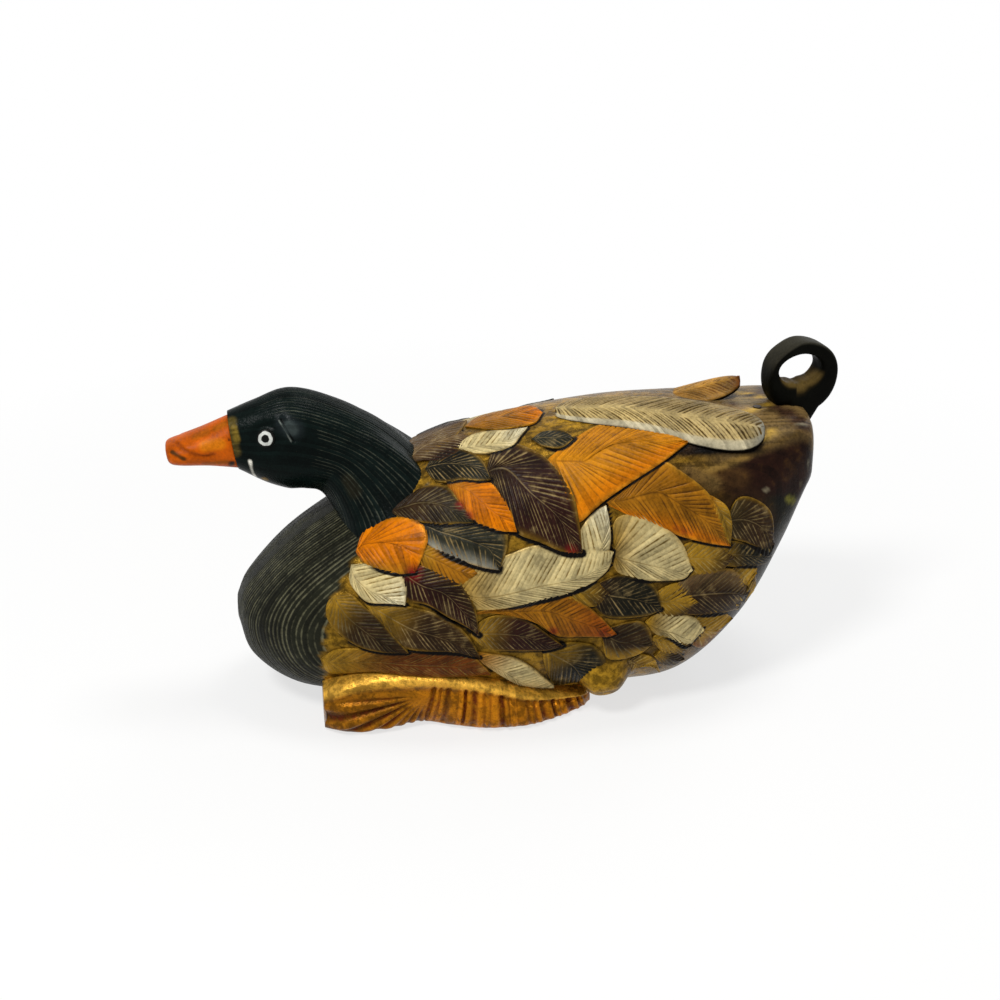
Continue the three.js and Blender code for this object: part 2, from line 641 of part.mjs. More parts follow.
// Feet: blocks coped to the belly, flat underneath, each held by two screws from below.
function footBlock(grow = 0) {
  const rings = [];
  for (let i = 0; i <= FOOT_RINGS; i++) {
    const share = i / FOOT_RINGS;
    const [, height, lowerInset, upperInset] = rowAt(FOOT_LINES, findRow(FOOT_LINES, share));
    const x = FOOT_BEHIND_BREAST + lerp(-grow, FOOT_LENGTH + grow, share);
    const inner = FOOT_DEPTH - SIDE;
    const lower = lowerInset - SIDE - grow;
    const upper = upperInset - SIDE - grow;
    const top = height * FOOT_HEIGHT + grow;
    rings.push([
      new THREE.Vector3(x, inner, 0),
      new THREE.Vector3(x, inner, top),
      new THREE.Vector3(x, upper, top),
      ...FOOT_SWELL_LEVELS.map((level) =>
        new THREE.Vector3(x, lerp(lower, upper, level) - FOOT_SWELL, top * level)),
      new THREE.Vector3(x, lower, 0),
    ]);
  }
  return loft(rings, middleOf(rings[0]), middleOf(rings[FOOT_RINGS]));
}

function screwProfile(clearance) {
  const head = SCREW_HEAD_DIAMETER / 2 + clearance;
  const shank = SCREW_DIAMETER / 2 + clearance;
  const bottom = clearance > 0 ? -2 * SCREW_SINK : 0;
  const tip = SCREW_LENGTH + clearance;
  return [[0, bottom], [head, bottom], [head, clearance], [shank, SCREW_HEAD_DEPTH + clearance],
    [shank, tip - SCREW_DIAMETER], [0, tip]];
}

let foot = toSolid(footBlock()).subtract(grownBody);
const screwY = SCREW_INSET - SIDE;
SCREWS_BEHIND_FOOT_FRONT.forEach((behind, i) => {
  const position = i === 0 ? "front" : "rear";
  const at = new THREE.Vector3(FOOT_BEHIND_BREAST + behind, screwY, SCREW_SINK);
  const screw = place(turned(screwProfile(0)), UP, at);
  const bore = place(turned(screwProfile(GAP)), UP, at);
  addPiece(`foot_screw_left_${position}`, screw, steel);
  addPiece(`foot_screw_right_${position}`, mirrored(screw), steel);
  foot = foot.subtract(toSolid(bore));
  bodyHoles.push(toSolid(bore), toSolid(mirrored(bore)));
});
addPiece("foot_left", toGeometry(foot), goldPaint);
addPiece("foot_right", mirrored(toGeometry(foot)), goldPaint);

// Carved feathers: plates that follow the body, thicker towards the tip, one side mirrored to the other.
function bodyPoint(x, angle) {
  return sectionPoint(bodySection(findRow(BODY_LINES, x / BODY_LENGTH)), angle);
}

// The place on the body under a point, and the way the body faces there.
function seatOnBody(point) {
  const section = bodySection(findRow(BODY_LINES, point.x / BODY_LENGTH));
  const above = point.z >= section.widest;
  const reach = above ? section.top - section.widest : section.widest - section.bottom;
  const power = (above ? section.squareTop : section.squareBottom) / 2;
  const across = Math.sign(point.y) * (Math.abs(point.y) / section.width) ** power;
  const up = Math.sign(point.z - section.widest) * (Math.abs(point.z - section.widest) / reach) ** power;
  const angle = Math.atan2(up, across);
  const step = 0.01; // a small step round and along the body, to find which way it faces
  const seat = sectionPoint(section, angle);
  const round = sectionPoint(section, angle + step).sub(seat);
  const along = bodyPoint(point.x + step, angle).sub(seat);
  return { seat, outward: round.cross(along).normalize() };
}

function featherPlate([rootX, rootRise, tipX, tipRise, width]) {
  const root = bodyPoint(rootX, Math.PI - radians(rootRise));
  const tip = bodyPoint(tipX, Math.PI - radians(tipRise));
  const forward = tip.clone().sub(root).normalize();
  const sideways = seatOnBody(root.clone().lerp(tip, 0.5)).outward.cross(forward).normalize();
  const rings = FEATHER_LINES.map(([share, breadth]) => {
    const reach = (breadth * width) / 2;
    const rise = lerp(FEATHER_ROOT_THICKNESS, FEATHER_THICKNESS, share);
    const corners = [[reach, FEATHER_EDGE_SHARE * rise], [0, rise], [-reach, FEATHER_EDGE_SHARE * rise],
      [-reach, -FEATHER_SEAT], [reach, -FEATHER_SEAT]];
    return corners.map(([across, height]) => {
      const { seat, outward } = seatOnBody(root.clone().lerp(tip, share).addScaledVector(sideways, across));
      return seat.addScaledVector(outward, height);
    });
  });
  return loft(rings, middleOf(rings[0]), middleOf(rings.at(-1)));
}

const plates = FEATHERS.map(featherPlate).flatMap((plate) => [plate, mirrored(plate)]).map(toSolid);
const clearOfFeathers = [
  headSolid(GAP), leftWingSeat, rightWingSeat, toSolid(footBlock(GAP)), toSolid(mirrored(footBlock(GAP)))];
const feathers = clearOfFeathers.reduce(
  (solid, cut) => solid.subtract(cut), plates.reduce((solid, plate) => solid.add(plate)));

// The body: carved, hollowed, bored for everything above, and parted at the glued joint.
const hollowShape = new THREE.SphereGeometry(0.5, HEAD_SIDES, HEAD_SIDES / 2);
hollowShape.rotateX(Math.PI / 2).scale(hollowLength, hollowWidth, hollowHeight);
hollowShape.translate(hollowMiddle, 0, SEAM_HEIGHT);
bodyHoles.push(toSolid(hollowShape));
const body = bodyHoles.reduce((solid, cut) => solid.subtract(cut), bodySolid().add(feathers));

function bodyHalf(low, high) {
  const slab = new THREE.BoxGeometry(2 * BODY_LENGTH, 2 * BODY_WIDTH, high - low);
  return toGeometry(body.intersect(toSolid(slab.translate(BODY_LENGTH / 2, 0, (low + high) / 2))));
}
addPiece("body_lower", bodyHalf(-BODY_TOP, SEAM_HEIGHT - GAP / 2), featherPaint);
addPiece("body_upper", bodyHalf(SEAM_HEIGHT + GAP / 2, 2 * BODY_TOP), featherPaint);

// The origin is on the floor, under the middle of the whole part.
const box = new THREE.Box3().setFromObject(duck);
duck.position.x = -(box.min.x + box.max.x) / 2;

export default duck;
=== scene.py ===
import math

import bpy
import numpy as np
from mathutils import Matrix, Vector
from mathutils.bvhtree import BVHTree
from mathutils.kdtree import KDTree


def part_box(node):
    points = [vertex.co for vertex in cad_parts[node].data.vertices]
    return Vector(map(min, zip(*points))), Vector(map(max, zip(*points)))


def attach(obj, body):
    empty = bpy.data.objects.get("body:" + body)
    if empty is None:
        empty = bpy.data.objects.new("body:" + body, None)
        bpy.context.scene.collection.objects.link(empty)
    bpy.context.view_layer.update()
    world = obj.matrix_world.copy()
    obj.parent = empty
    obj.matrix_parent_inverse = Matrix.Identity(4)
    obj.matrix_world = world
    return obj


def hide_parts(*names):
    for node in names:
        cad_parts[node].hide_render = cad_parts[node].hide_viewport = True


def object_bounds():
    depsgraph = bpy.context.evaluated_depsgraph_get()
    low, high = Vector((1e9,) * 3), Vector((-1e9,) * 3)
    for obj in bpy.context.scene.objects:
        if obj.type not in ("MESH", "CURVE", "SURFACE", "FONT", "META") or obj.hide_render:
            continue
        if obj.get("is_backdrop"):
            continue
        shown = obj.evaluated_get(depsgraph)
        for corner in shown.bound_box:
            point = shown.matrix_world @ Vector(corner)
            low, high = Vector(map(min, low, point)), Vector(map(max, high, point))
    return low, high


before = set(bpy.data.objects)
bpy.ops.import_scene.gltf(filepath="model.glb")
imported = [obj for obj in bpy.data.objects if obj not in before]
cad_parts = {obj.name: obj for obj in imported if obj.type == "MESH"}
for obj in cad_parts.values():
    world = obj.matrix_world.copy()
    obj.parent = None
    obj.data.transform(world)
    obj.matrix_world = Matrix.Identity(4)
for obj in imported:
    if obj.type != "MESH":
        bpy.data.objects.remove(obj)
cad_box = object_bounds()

# The view: the duck stands with its left side to the camera, which looks down on it from a little
# towards the bill. Places read off the photograph are cast along this camera's sight lines.
MM = 0.001
PHOTO_WIDTH = 1000  # pixels
VIEW_AZIMUTH = math.radians(-8)
VIEW_ELEVATION = math.radians(24)
VIEW_DISTANCE = 750
VIEW_LENS = 60
VIEW_TARGET = Vector((-3.2, 0, 87))

scene = bpy.context.scene
scene.view_settings.view_transform = "Standard"
camera = bpy.data.objects.new("camera", bpy.data.cameras.new("camera"))
camera.data.lens = VIEW_LENS
level = math.cos(VIEW_ELEVATION)
view_back = Vector((
    math.sin(VIEW_AZIMUTH) * level, -math.cos(VIEW_AZIMUTH) * level, math.sin(VIEW_ELEVATION)))
camera.location = (VIEW_TARGET + VIEW_DISTANCE * view_back) * MM
camera.rotation_mode = "QUATERNION"
camera.rotation_quaternion = (-view_back).to_track_quat("-Z", "Y")
scene.collection.objects.link(camera)
scene.camera = camera


def cast_on(tree, pixel):
    reach = camera.data.lens / camera.data.sensor_width * PHOTO_WIDTH
    across, up = pixel[0] - PHOTO_WIDTH / 2, PHOTO_WIDTH / 2 - pixel[1]
    direction = (camera.rotation_quaternion @ Vector((across, up, -reach))).normalized()
    eye = camera.location / MM
    place = tree.ray_cast(eye, direction)[0]
    if place is None:
        place = tree.find_nearest(eye + direction * (VIEW_TARGET - eye).dot(direction))[0]
    return np.array(place)


# The floor and the light: a white sweep under large soft lamps, as in a product studio. The floor
# takes the duck's shadow, and the camera and gloss see the rest of it as plain white.
FLOOR_SIZE = 6.0  # metres
FLOOR_WHITE = "#ececea"
SHADOW_SHARE = 0.3  # how much of the real shadow the white floor keeps
SHADOW_REACH = (0.2, 0.5)  # metres from the duck over which the shadow gives way to white
SKY_LIGHT = 0.3
LAMPS = [  # place in metres, size in metres, watts
    ("key_lamp", (-0.65, -0.75, 1.35), 0.4, 17),
    ("top_lamp", (0.35, 0.1, 1.5), 0.5, 8),
    ("rim_lamp", (0.9, 0.9, 0.9), 0.8, 4),
]


def linear(hex_code):
    channels = [int(hex_code[i:i + 2], 16) / 255 for i in (1, 3, 5)]
    return (*[((c + 0.055) / 1.055) ** 2.4 if c > 0.04045 else c / 12.92 for c in channels], 1.0)


def add_node(tree, kind, inputs=None, **settings):
    made = tree.nodes.new(kind)
    for key, value in settings.items():
        setattr(made, key, value)
    for key, value in (inputs or {}).items():
        if isinstance(value, bpy.types.NodeSocket):
            tree.links.new(value, made.inputs[key])
        else:
            made.inputs[key].default_value = value
    return made


def seen_directly(tree):
    path = add_node(tree, "ShaderNodeLightPath").outputs
    seen = path["Is Camera Ray"]
    for ray in ("Is Glossy Ray", "Is Transmission Ray"):
        seen = add_node(tree, "ShaderNodeMath", {0: seen, 1: path[ray]}, operation="MAXIMUM").outputs[0]
    return seen


def start_material(name):
    material = bpy.data.materials.new(name)
    material.use_nodes = True
    material.node_tree.nodes.clear()
    return material, material.node_tree


floor_paint, tree = start_material("white_studio_sweep")
place = add_node(tree, "ShaderNodeTexCoord").outputs["Object"]
away = add_node(tree, "ShaderNodeVectorMath", {0: place}, operation="LENGTH").outputs["Value"]
white = add_node(tree, "ShaderNodeMapRange", {
    "Value": away, 1: SHADOW_REACH[0], 2: SHADOW_REACH[1], 3: 1 - SHADOW_SHARE, 4: 1.0})
share = add_node(tree, "ShaderNodeMath", {0: seen_directly(tree), 1: white.outputs[0]}, operation="MULTIPLY")
matt = add_node(tree, "ShaderNodeBsdfDiffuse", {"Color": linear(FLOOR_WHITE)})
glow = add_node(tree, "ShaderNodeEmission", {"Color": (1, 1, 1, 1), "Strength": 1.0})
mixed = add_node(tree, "ShaderNodeMixShader", {0: share.outputs[0], 1: matt.outputs[0], 2: glow.outputs[0]})
add_node(tree, "ShaderNodeOutputMaterial", {"Surface": mixed.outputs[0]})

half = FLOOR_SIZE / 2
floor_corners = [(-half, -half, 0), (half, -half, 0), (half, half, 0), (-half, half, 0)]
floor_mesh = bpy.data.meshes.new("floor")
floor_mesh.from_pydata(floor_corners, [], [(0, 1, 2, 3)])
floor_mesh.materials.append(floor_paint)
floor = bpy.data.objects.new("floor", floor_mesh)
scene.collection.objects.link(floor)
floor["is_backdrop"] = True

world = bpy.data.worlds.new("studio")
scene.world = world
world.use_nodes = True
tree = world.node_tree
tree.nodes.clear()
strength = add_node(tree, "ShaderNodeMix", {0: seen_directly(tree), 2: SKY_LIGHT, 3: 1.0}, data_type="FLOAT")
sky = add_node(tree, "ShaderNodeBackground", {"Color": (1, 1, 1, 1), "Strength": strength.outputs[0]})
add_node(tree, "ShaderNodeOutputWorld", {"Surface": sky.outputs[0]})

for name, place, size, watts in LAMPS:
    lamp = bpy.data.lights.new(name, "AREA")
    lamp.shape = "DISK"
    lamp.size = size
    lamp.energy = watts
    holder = bpy.data.objects.new(name, lamp)
    holder.location = place
    holder.rotation_euler = (VIEW_TARGET * MM - Vector(place)).to_track_quat("-Z", "Y").to_euler()
    scene.collection.objects.link(holder)

# The body: lime wood, carved in two halves that are glued and painted over, so they look like one.
# Its breast is combed with long grooves that follow the profile, painted black and rubbed back.
BODY_LENGTH = 258.5
BODY_SIDE = 59
BODY_HEIGHT = 128
BELLY_CLEARANCE = 3
BREAST_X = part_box("body_lower")[0].x / MM
BODY_LINES = np.array([  # along, back, belly, widest level, half width, squareness above and below
    (-0.002, 0.35, 0.27, 0.312, 0.09, 2.0, 2.0),
    (0.021, 0.43, 0.135, 0.312, 0.36, 2.0, 2.0),
    (0.093, 0.577, 0.035, 0.328, 0.64, 2.0, 2.1),
    (0.197, 0.72, 0.008, 0.352, 0.814, 2.0, 2.2),
    (0.325, 0.882, 0.0, 0.391, 0.949, 2.0, 2.3),
    (0.48, 0.961, 0.0, 0.422, 1.0, 2.1, 2.4),
    (0.634, 1.0, 0.0, 0.453, 0.966, 2.3, 2.5),
    (0.762, 1.0, 0.008, 0.508, 0.89, 2.6, 2.3),
    (0.87, 0.985, 0.164, 0.602, 0.763, 3.2, 1.9),
    (0.936, 0.98, 0.406, 0.727, 0.627, 4.0, 1.8),
    (0.973, 0.975, 0.633, 0.789, 0.525, 4.5, 1.7),
    (0.987, 0.965, 0.68, 0.797, 0.407, 4.0, 1.8),
    (0.994, 0.93, 0.734, 0.805, 0.203, 3.0, 2.0),
])
BODY_DABS = [  # strokes on the body: pixels of both ends, radius, paint
    ((735, 484), (800, 470), 5.5, "#22110a"),
    ((752, 470), (802, 453), 7.5, "#1d0d07"),
    ((716, 482), (740, 478), 5.0, "#33210f"),
    ((690, 472), (712, 484), 4.0, "#5b4624"),
    ((770, 507), (790, 505), 5.5, "#11120b"),
    ((775, 530), (786, 522), 6.0, "#11120b"),
    ((788, 499), (794, 501), 1.6, "#5d5a20"),
    ((778, 408), (803, 424), 5.0, "#38261a"),
    ((743, 401), (764, 388), 5.0, "#7d6942"),
    ((745, 413), (766, 404), 2.4, "#a4822f"),
    ((757, 406), (761, 406), 2.2, "#150c08"),
    ((758, 444), (774, 431), 2.2, "#94762f"),
    ((710, 470), (750, 455), 1.5, "#6b5328"),
    ((750, 455), (800, 432), 1.3, "#594421"),
    ((764, 490), (805, 483), 0.45, "#8b8168"),
    ((808, 412), (808, 466), 1.0, "#746c58"),
    ((732, 403), (735, 405), 0.8, "#4a3116"),
    ((428, 484), (414, 500), 0.9, "#83704a"),
    ((414, 500), (398, 511), 0.9, "#7a6a48"),
    ((398, 511), (374, 527), 0.8, "#6b5f45"),
    ((594, 690), (618, 684), 6.0, "#57431e"),
]
LEFT_SHADOW_DABS = [  # the same on the left side only: a painted shadow in the gap under its wing tip
    ((684, 450), (757, 447), 3.6, "#070504"),
]
DAB_CORE, DAB_EDGE = 0.45, 1.4  # shares of a stroke's radius where its paint is full and where it ends
BODY_RINGS = 300
BODY_SIDES = 240
COMB_SPACING = 1.4
BREAST_ROWS = 3  # mesh rows to a groove of the breast
ROWS_PER_GROOVE = 4
THIGH, THIGH_RADIUS, THIGH_SWELL = (604, 674), 10.5, 6.0  # a swelling behind the foot, at a pixel
NAIL_DIMPLE, NAIL_DIMPLE_RADIUS = 0.8, 3.0  # the wood is punched in round the nail of the tail
SLICE_MIDDLE = (0.48 * BODY_LENGTH, 57)  # along and up: inside the body at every slice
SLICE_POINTS = 360
SLICE_TURNS = np.radians(np.arange(54, 90.1, 1.5))  # where the grooves end and the sides turn away
GROOVE_WANDER = 0.35  # how far a groove of the breast strays to the sides
OUTERMOST_SLICE = 0.995  # share of the half width
BREAST_EDGE = np.array([(0, -83), (35, -86.8), (62, -82), (92, -62.5), (131, -30)])  # height, place along
BREAST_FRINGE, BREAST_RAGGED = 1.5, 1.2  # half the width of the edge of the black paint, and its waves
REAR_FROM, TAIL_FROM = (35, 75), (70, 100)  # places along where the gold turns brown, and then dark
REAR_SHARE = 0.6
TAIL_TOP_FROM, TAIL_UNDER_TO = (112, 118), (84, 96)  # heights of the pale top and the green underside
THIGH_COMB = 0.7  # depth of the grooves on the swelling, as a share of those on the breast
PAINTS = {key: np.array(linear(code)) for key, code in {
    "cream": "#b9a877", "orange": "#bb6602", "ochre": "#8f5c10", "gold": "#8e6b1b", "umber": "#2a1b0c",
    "maroon": "#27120d", "rust": "#5a2d08", "green": "#14130b", "slate": "#24241b", "black": "#1a1b12",
    "red": "#6e1210", "tan": "#564229", "grey": "#7b796d", "white": "#beb595", "brown": "#281a0b",
    "olive": "#372c14", "bone": "#ad9763", "wine": "#1f0f0a", "amber": "#b2720f",
    "russet": "#84400a", "chalk": "#aea487", "fawn": "#6d5733", "buff": "#a5782f",
}.items()}
OCHRE_COAT = "#8a6628"
GREY_COAT = "#5c5a45"


def row_at(table, u):
    last = len(table) - 1
    i = min(int(u), last - 1)
    t = u - i
    value, after = table[i], table[i + 1]
    before = table[i - 1] if i > 0 else 2 * value - after
    beyond = table[i + 2] if i + 1 < last else 2 * after - value
    slope, next_slope, rise = (after - before) / 2, (beyond - value) / 2, after - value
    bend = 3 * rise - 2 * slope - next_slope
    twist = slope + next_slope - 2 * rise
    return value + slope * t + bend * t**2 + twist * t**3


def find_row(table, value):
    low, high = 0.0, len(table) - 1.0
    for _ in range(40):
        middle = (low + high) / 2
        low, high = (middle, high) if row_at(table, middle)[0] < value else (low, middle)
    return low


def grid_faces(rows, columns, wrap=False, first=0):
    around = range(columns if wrap else columns - 1)
    return [(first + i * columns + j, first + i * columns + (j + 1) % columns,
             first + (i + 1) * columns + (j + 1) % columns, first + (i + 1) * columns + j)
            for i in range(rows - 1) for j in around]


def loft_faces(rows, columns):
    last = (rows - 1) * columns
    caps = [tuple(reversed(range(columns))), tuple(range(last, last + columns))]
    return grid_faces(rows, columns, wrap=True) + caps


def smooth_step(low, high, value):
    t = np.clip((value - low) / (high - low), 0, 1)
    return t * t * (3 - 2 * t)


def blend(colour, other, share):
    colour, share = np.asarray(colour), np.asarray(share)[..., None]
    return colour + share * (other - colour)


def body_ring(u):
    along, top, bottom, widest, width, square_top, square_bottom = row_at(BODY_LINES, u)
    angle = np.arange(BODY_SIDES) / BODY_SIDES * 2 * math.pi
    across, up = np.cos(angle), np.sin(angle)
    power = 2 / np.where(up >= 0, square_top, square_bottom)
    reach = np.where(up >= 0, top - widest, widest - bottom) * BODY_HEIGHT
    y = width * BODY_SIDE * np.sign(across) * np.abs(across) ** power
    z = BELLY_CLEARANCE + widest * BODY_HEIGHT + reach * np.sign(up) * np.abs(up) ** power
    return np.stack([np.full(BODY_SIDES, BREAST_X + along * BODY_LENGTH), y, z], axis=1)


rings = [body_ring(i / BODY_RINGS * (len(BODY_LINES) - 1)) for i in range(BODY_RINGS + 1)]
body_tree = BVHTree.FromPolygons(np.concatenate(rings).tolist(), loft_faces(BODY_RINGS + 1, BODY_SIDES))


def distance_to(points, start, end):
    line = end - start
    along = np.clip((points - start) @ line / np.dot(line, line), 0, 1)
    return np.linalg.norm(points - start - along[:, None] * line, axis=1)


def dab_paint(colours, points, tree, dabs):
    for start, end, radius, code in dabs:
        away = distance_to(points, cast_on(tree, start), cast_on(tree, end))
        share = 1 - smooth_step(DAB_CORE * radius, DAB_EDGE * radius, away)
        colours = blend(colours, linear(code), share)
    return colours


def on_left(points):
    return np.column_stack([points[:, 0], -np.abs(points[:, 1]), points[:, 2]])


def make_piece(name, points, faces, paint, coat=OCHRE_COAT, **values):
    mesh = bpy.data.meshes.new(name)
    mesh.from_pydata((np.asarray(points) * MM).tolist(), [], faces)
    mesh.shade_smooth()
    for key, colour in (("paint", paint), ("coat", linear(coat) if isinstance(coat, str) else coat)):
        colour = np.broadcast_to(np.asarray(colour, np.float32), (len(points), 4))
        mesh.color_attributes.new(key, "FLOAT_COLOR", "POINT").data.foreach_set("color", colour.ravel())
    for key in ("comb", "comb_depth", "rim", "step", "gilt"):
        value = np.broadcast_to(values.get(key, 0.5 if key == "comb" else 0), len(points))
        mesh.attributes.new(key, "FLOAT", "POINT").data.foreach_set("value", value.astype(np.float32))
    piece = bpy.data.objects.new(name, mesh)
    scene.collection.objects.link(piece)
    return piece


# Painted wood: acrylic brushed over a base coat, which shows in the cuts, along the edges and where the
# paint is worn. It is satin, with uneven strokes and small pits, a dark wash with painted shade lies in
# the steps, and bare gold paint has a sheen over a stippled ground.
PATCHES, SPECKS, GRIT = (11, 6.0), (3.5, 5.0), (1.2, 3.0)  # size in millimetres, detail
PATTERN_ROUGHNESS = 0.62
GRIT_SHADE, STROKE_SHADE = 0.45, 0.3  # how much each of them darkens the paint, beside the patches
SHADE_LEVELS, SHADES = (0.62, 1.13), (0.5, 1.5)
PIT_DEPTH = 0.3
STEP_WASH_AND_SHADE = "#080503"
GILT_SHEEN = 0.55
GILT_STIPPLE = 4.0
GILT_MOTTLE = 2.4
PAINT_IOR = 1.48


def painted_wood(name, in_grooves, on_edges, roughness, wear=0.0, specular=0.06, gilded=False):
    material, tree = start_material(name)
    place = add_node(tree, "ShaderNodeTexCoord").outputs["Object"]
    paint, coat = [
        add_node(tree, "ShaderNodeAttribute", attribute_name=key).outputs["Color"]
        for key in ("paint", "coat")]
    comb, groove, rim, step, gilt = [
        add_node(tree, "ShaderNodeAttribute", attribute_name=key).outputs["Fac"]
        for key in ("comb", "groove", "rim", "step", "gilt")]
    patches, specks, grit = [
        add_node(tree, "ShaderNodeTexNoise", {
            "Vector": place, "Scale": 1 / (size * MM), "Detail": detail,
            "Roughness": PATTERN_ROUGHNESS}).outputs[0]
        for size, detail in (PATCHES, SPECKS, GRIT)]

    # Each stroke of the brush has its own shade, and bare gold is mottled.
    barb = add_node(tree, "ShaderNodeMath", {0: comb}, operation="FLOOR").outputs[0]
    stroke = add_node(tree, "ShaderNodeTexWhiteNoise", {"W": barb}, noise_dimensions="1D").outputs["Value"]
    gold_specks = add_node(tree, "ShaderNodeMath", {0: specks, 1: gilt}, operation="MULTIPLY").outputs[0]
    level = patches
    for mark, share in [(grit, GRIT_SHADE), (stroke, STROKE_SHADE), (gold_specks, GILT_MOTTLE),
                        (gilt, -0.5 * GILT_MOTTLE)]:
        level = add_node(
            tree, "ShaderNodeMath", {0: mark, 1: share, 2: level}, operation="MULTIPLY_ADD").outputs[0]
    shade = add_node(tree, "ShaderNodeMapRange", {
        "Value": level, 1: SHADE_LEVELS[0], 2: SHADE_LEVELS[1], 3: SHADES[0], 4: SHADES[1]}).outputs[0]
    brushed, rubbed = [
        add_node(tree, "ShaderNodeHueSaturation", {"Color": colour, "Value": shade}).outputs[0]
        for colour in (paint, coat)]

    # The base coat shows in broken lines in the cuts, on the edges and in worn places, under the dark wash
    # and painted shade.
    broken = add_node(tree, "ShaderNodeMapRange", {"Value": specks, 1: 0.35, 2: 0.6, 3: 0.35}).outputs[0]
    cut = add_node(tree, "ShaderNodeMath", {0: groove, 1: broken}, operation="MULTIPLY").outputs[0]
    cut = add_node(tree, "ShaderNodeMath", {0: cut, 1: in_grooves}, operation="MULTIPLY").outputs[0]
    cut = add_node(tree, "ShaderNodeMath", {0: rim, 1: on_edges, 2: cut}, operation="MULTIPLY_ADD").outputs[0]
    bare = add_node(tree, "ShaderNodeMapRange", {"Value": cut, 1: 0.12, 2: 0.5}).outputs[0]
    thin = add_node(
        tree, "ShaderNodeMath", {0: specks, 1: 0.8, 2: patches}, operation="MULTIPLY_ADD").outputs[0]
    worn = add_node(tree, "ShaderNodeMapRange", {"Value": thin, 1: 0.95, 2: 1.15, 4: wear}).outputs[0]
    # Dark wash and painted shade in the steps and under the feathers above.
    shade_wash = add_node(tree, "ShaderNodeMath", {0: grit, 1: 0.4, 2: step}, operation="MULTIPLY_ADD").outputs[0]
    deep = add_node(tree, "ShaderNodeMapRange", {"Value": shade_wash, 1: 0.35, 2: 0.65}).outputs[0]
    colour = brushed
    for share, over in [(bare, rubbed), (worn, rubbed), (deep, linear(STEP_WASH_AND_SHADE))]:
        colour = add_node(tree, "ShaderNodeMix", {0: share, 6: colour, 7: over}, data_type="RGBA").outputs[2]

    gloss = add_node(tree, "ShaderNodeMapRange", {
        "Value": grit, 1: 0.3, 2: 0.7, 3: roughness - 0.07, 4: roughness + 0.1}).outputs[0]
    stippled = add_node(tree, "ShaderNodeMath", {
        0: gold_specks, 1: GILT_STIPPLE, 2: grit}, operation="MULTIPLY_ADD").outputs[0]
    pits = add_node(tree, "ShaderNodeBump", {"Strength": 0.5, "Distance": PIT_DEPTH * MM, "Height": stippled})
    metallic = 0.0
    if gilded:
        sheen = add_node(tree, "ShaderNodeMapRange", {"Value": deep, 3: GILT_SHEEN, 4: 0.0}).outputs[0]
        metallic = add_node(tree, "ShaderNodeMath", {0: gilt, 1: sheen}, operation="MULTIPLY").outputs[0]
    shader = add_node(tree, "ShaderNodeBsdfPrincipled", {
        "Base Color": colour, "Roughness": gloss, "Normal": pits.outputs[0], "Metallic": metallic,
        "IOR": PAINT_IOR, "Specular IOR Level": specular})
    add_node(tree, "ShaderNodeOutputMaterial", {"Surface": shader.outputs[0]})
    return material


# The carver's comb: one tree cuts every groove of the duck. It reads how many grooves along a point is
# and how deep the cut is there, sinks the surface, and keeps the depth for the paint.
SHALLOWEST_CUT = 0.3  # share of the full depth


def start_tree(name, sockets):
    tree = bpy.data.node_groups.new(name, "GeometryNodeTree")
    tree.is_modifier = True
    made = {}
    for key, kind in [("Geometry", "Geometry"), *sockets]:
        socket = tree.interface.new_socket(key, in_out="INPUT", socket_type=f"NodeSocket{kind}")
        made[key] = socket.identifier
    tree.interface.new_socket("Geometry", in_out="OUTPUT", socket_type="NodeSocketGeometry")
    return tree, made, add_node(tree, "NodeGroupInput").outputs


def finish_tree(tree, geometry, paint):
    joined = add_node(tree, "GeometryNodeRealizeInstances", {"Geometry": geometry})
    painted = add_node(tree, "GeometryNodeSetMaterial", {"Geometry": joined.outputs[0], "Material": paint})
    add_node(tree, "NodeGroupOutput", {"Geometry": painted.outputs[0]})


def apply_tree(piece, tree, sockets, values):
    modifier = piece.modifiers.new(tree.name, "NODES")
    modifier.node_group = tree
    for key, value in values.items():
        modifier[sockets[key]] = value
    shown = piece.evaluated_get(bpy.context.evaluated_depsgraph_get())
    made = bpy.data.meshes.new_from_object(shown)
    piece.modifiers.clear()
    piece.data = made


comb_tree, comb_sockets, given = start_tree("carved_grooves", [
    ("Depth", "Float"), ("Width", "Float"), ("Seed", "Int"), ("Paint", "Material")])
count, reach = [
    add_node(comb_tree, "GeometryNodeInputNamedAttribute", {"Name": key}, data_type="FLOAT").outputs[0]
    for key in ("comb", "comb_depth")]
nearest = add_node(comb_tree, "ShaderNodeMath", {0: count}, operation="ROUND").outputs[0]
off = add_node(comb_tree, "ShaderNodeMath", {0: count, 1: nearest}, operation="SUBTRACT").outputs[0]
away = add_node(comb_tree, "ShaderNodeMath", {0: off}, operation="ABSOLUTE").outputs[0]
cut = add_node(comb_tree, "ShaderNodeMapRange", {
    "Value": away, 2: given["Width"], 3: 1.0, 4: 0.0}, interpolation_type="SMOOTHSTEP").outputs[0]
uneven = add_node(comb_tree, "FunctionNodeRandomValue", {
    2: SHALLOWEST_CUT, 3: 1.0, "ID": nearest, "Seed": given["Seed"]}, data_type="FLOAT").outputs[1]
amount = add_node(comb_tree, "ShaderNodeMath", {0: cut, 1: uneven}, operation="MULTIPLY").outputs[0]
amount = add_node(comb_tree, "ShaderNodeMath", {0: amount, 1: reach}, operation="MULTIPLY").outputs[0]
inward = amount
for factor in (given["Depth"], -1.0):
    inward = add_node(comb_tree, "ShaderNodeMath", {0: inward, 1: factor}, operation="MULTIPLY").outputs[0]
normal = add_node(comb_tree, "GeometryNodeInputNormal").outputs[0]
shift = add_node(
    comb_tree, "ShaderNodeVectorMath", {0: normal, "Scale": inward}, operation="SCALE").outputs[0]
kept = add_node(comb_tree, "GeometryNodeStoreNamedAttribute", {
    "Geometry": given["Geometry"], "Name": "groove", "Value": amount}, data_type="FLOAT", domain="POINT")
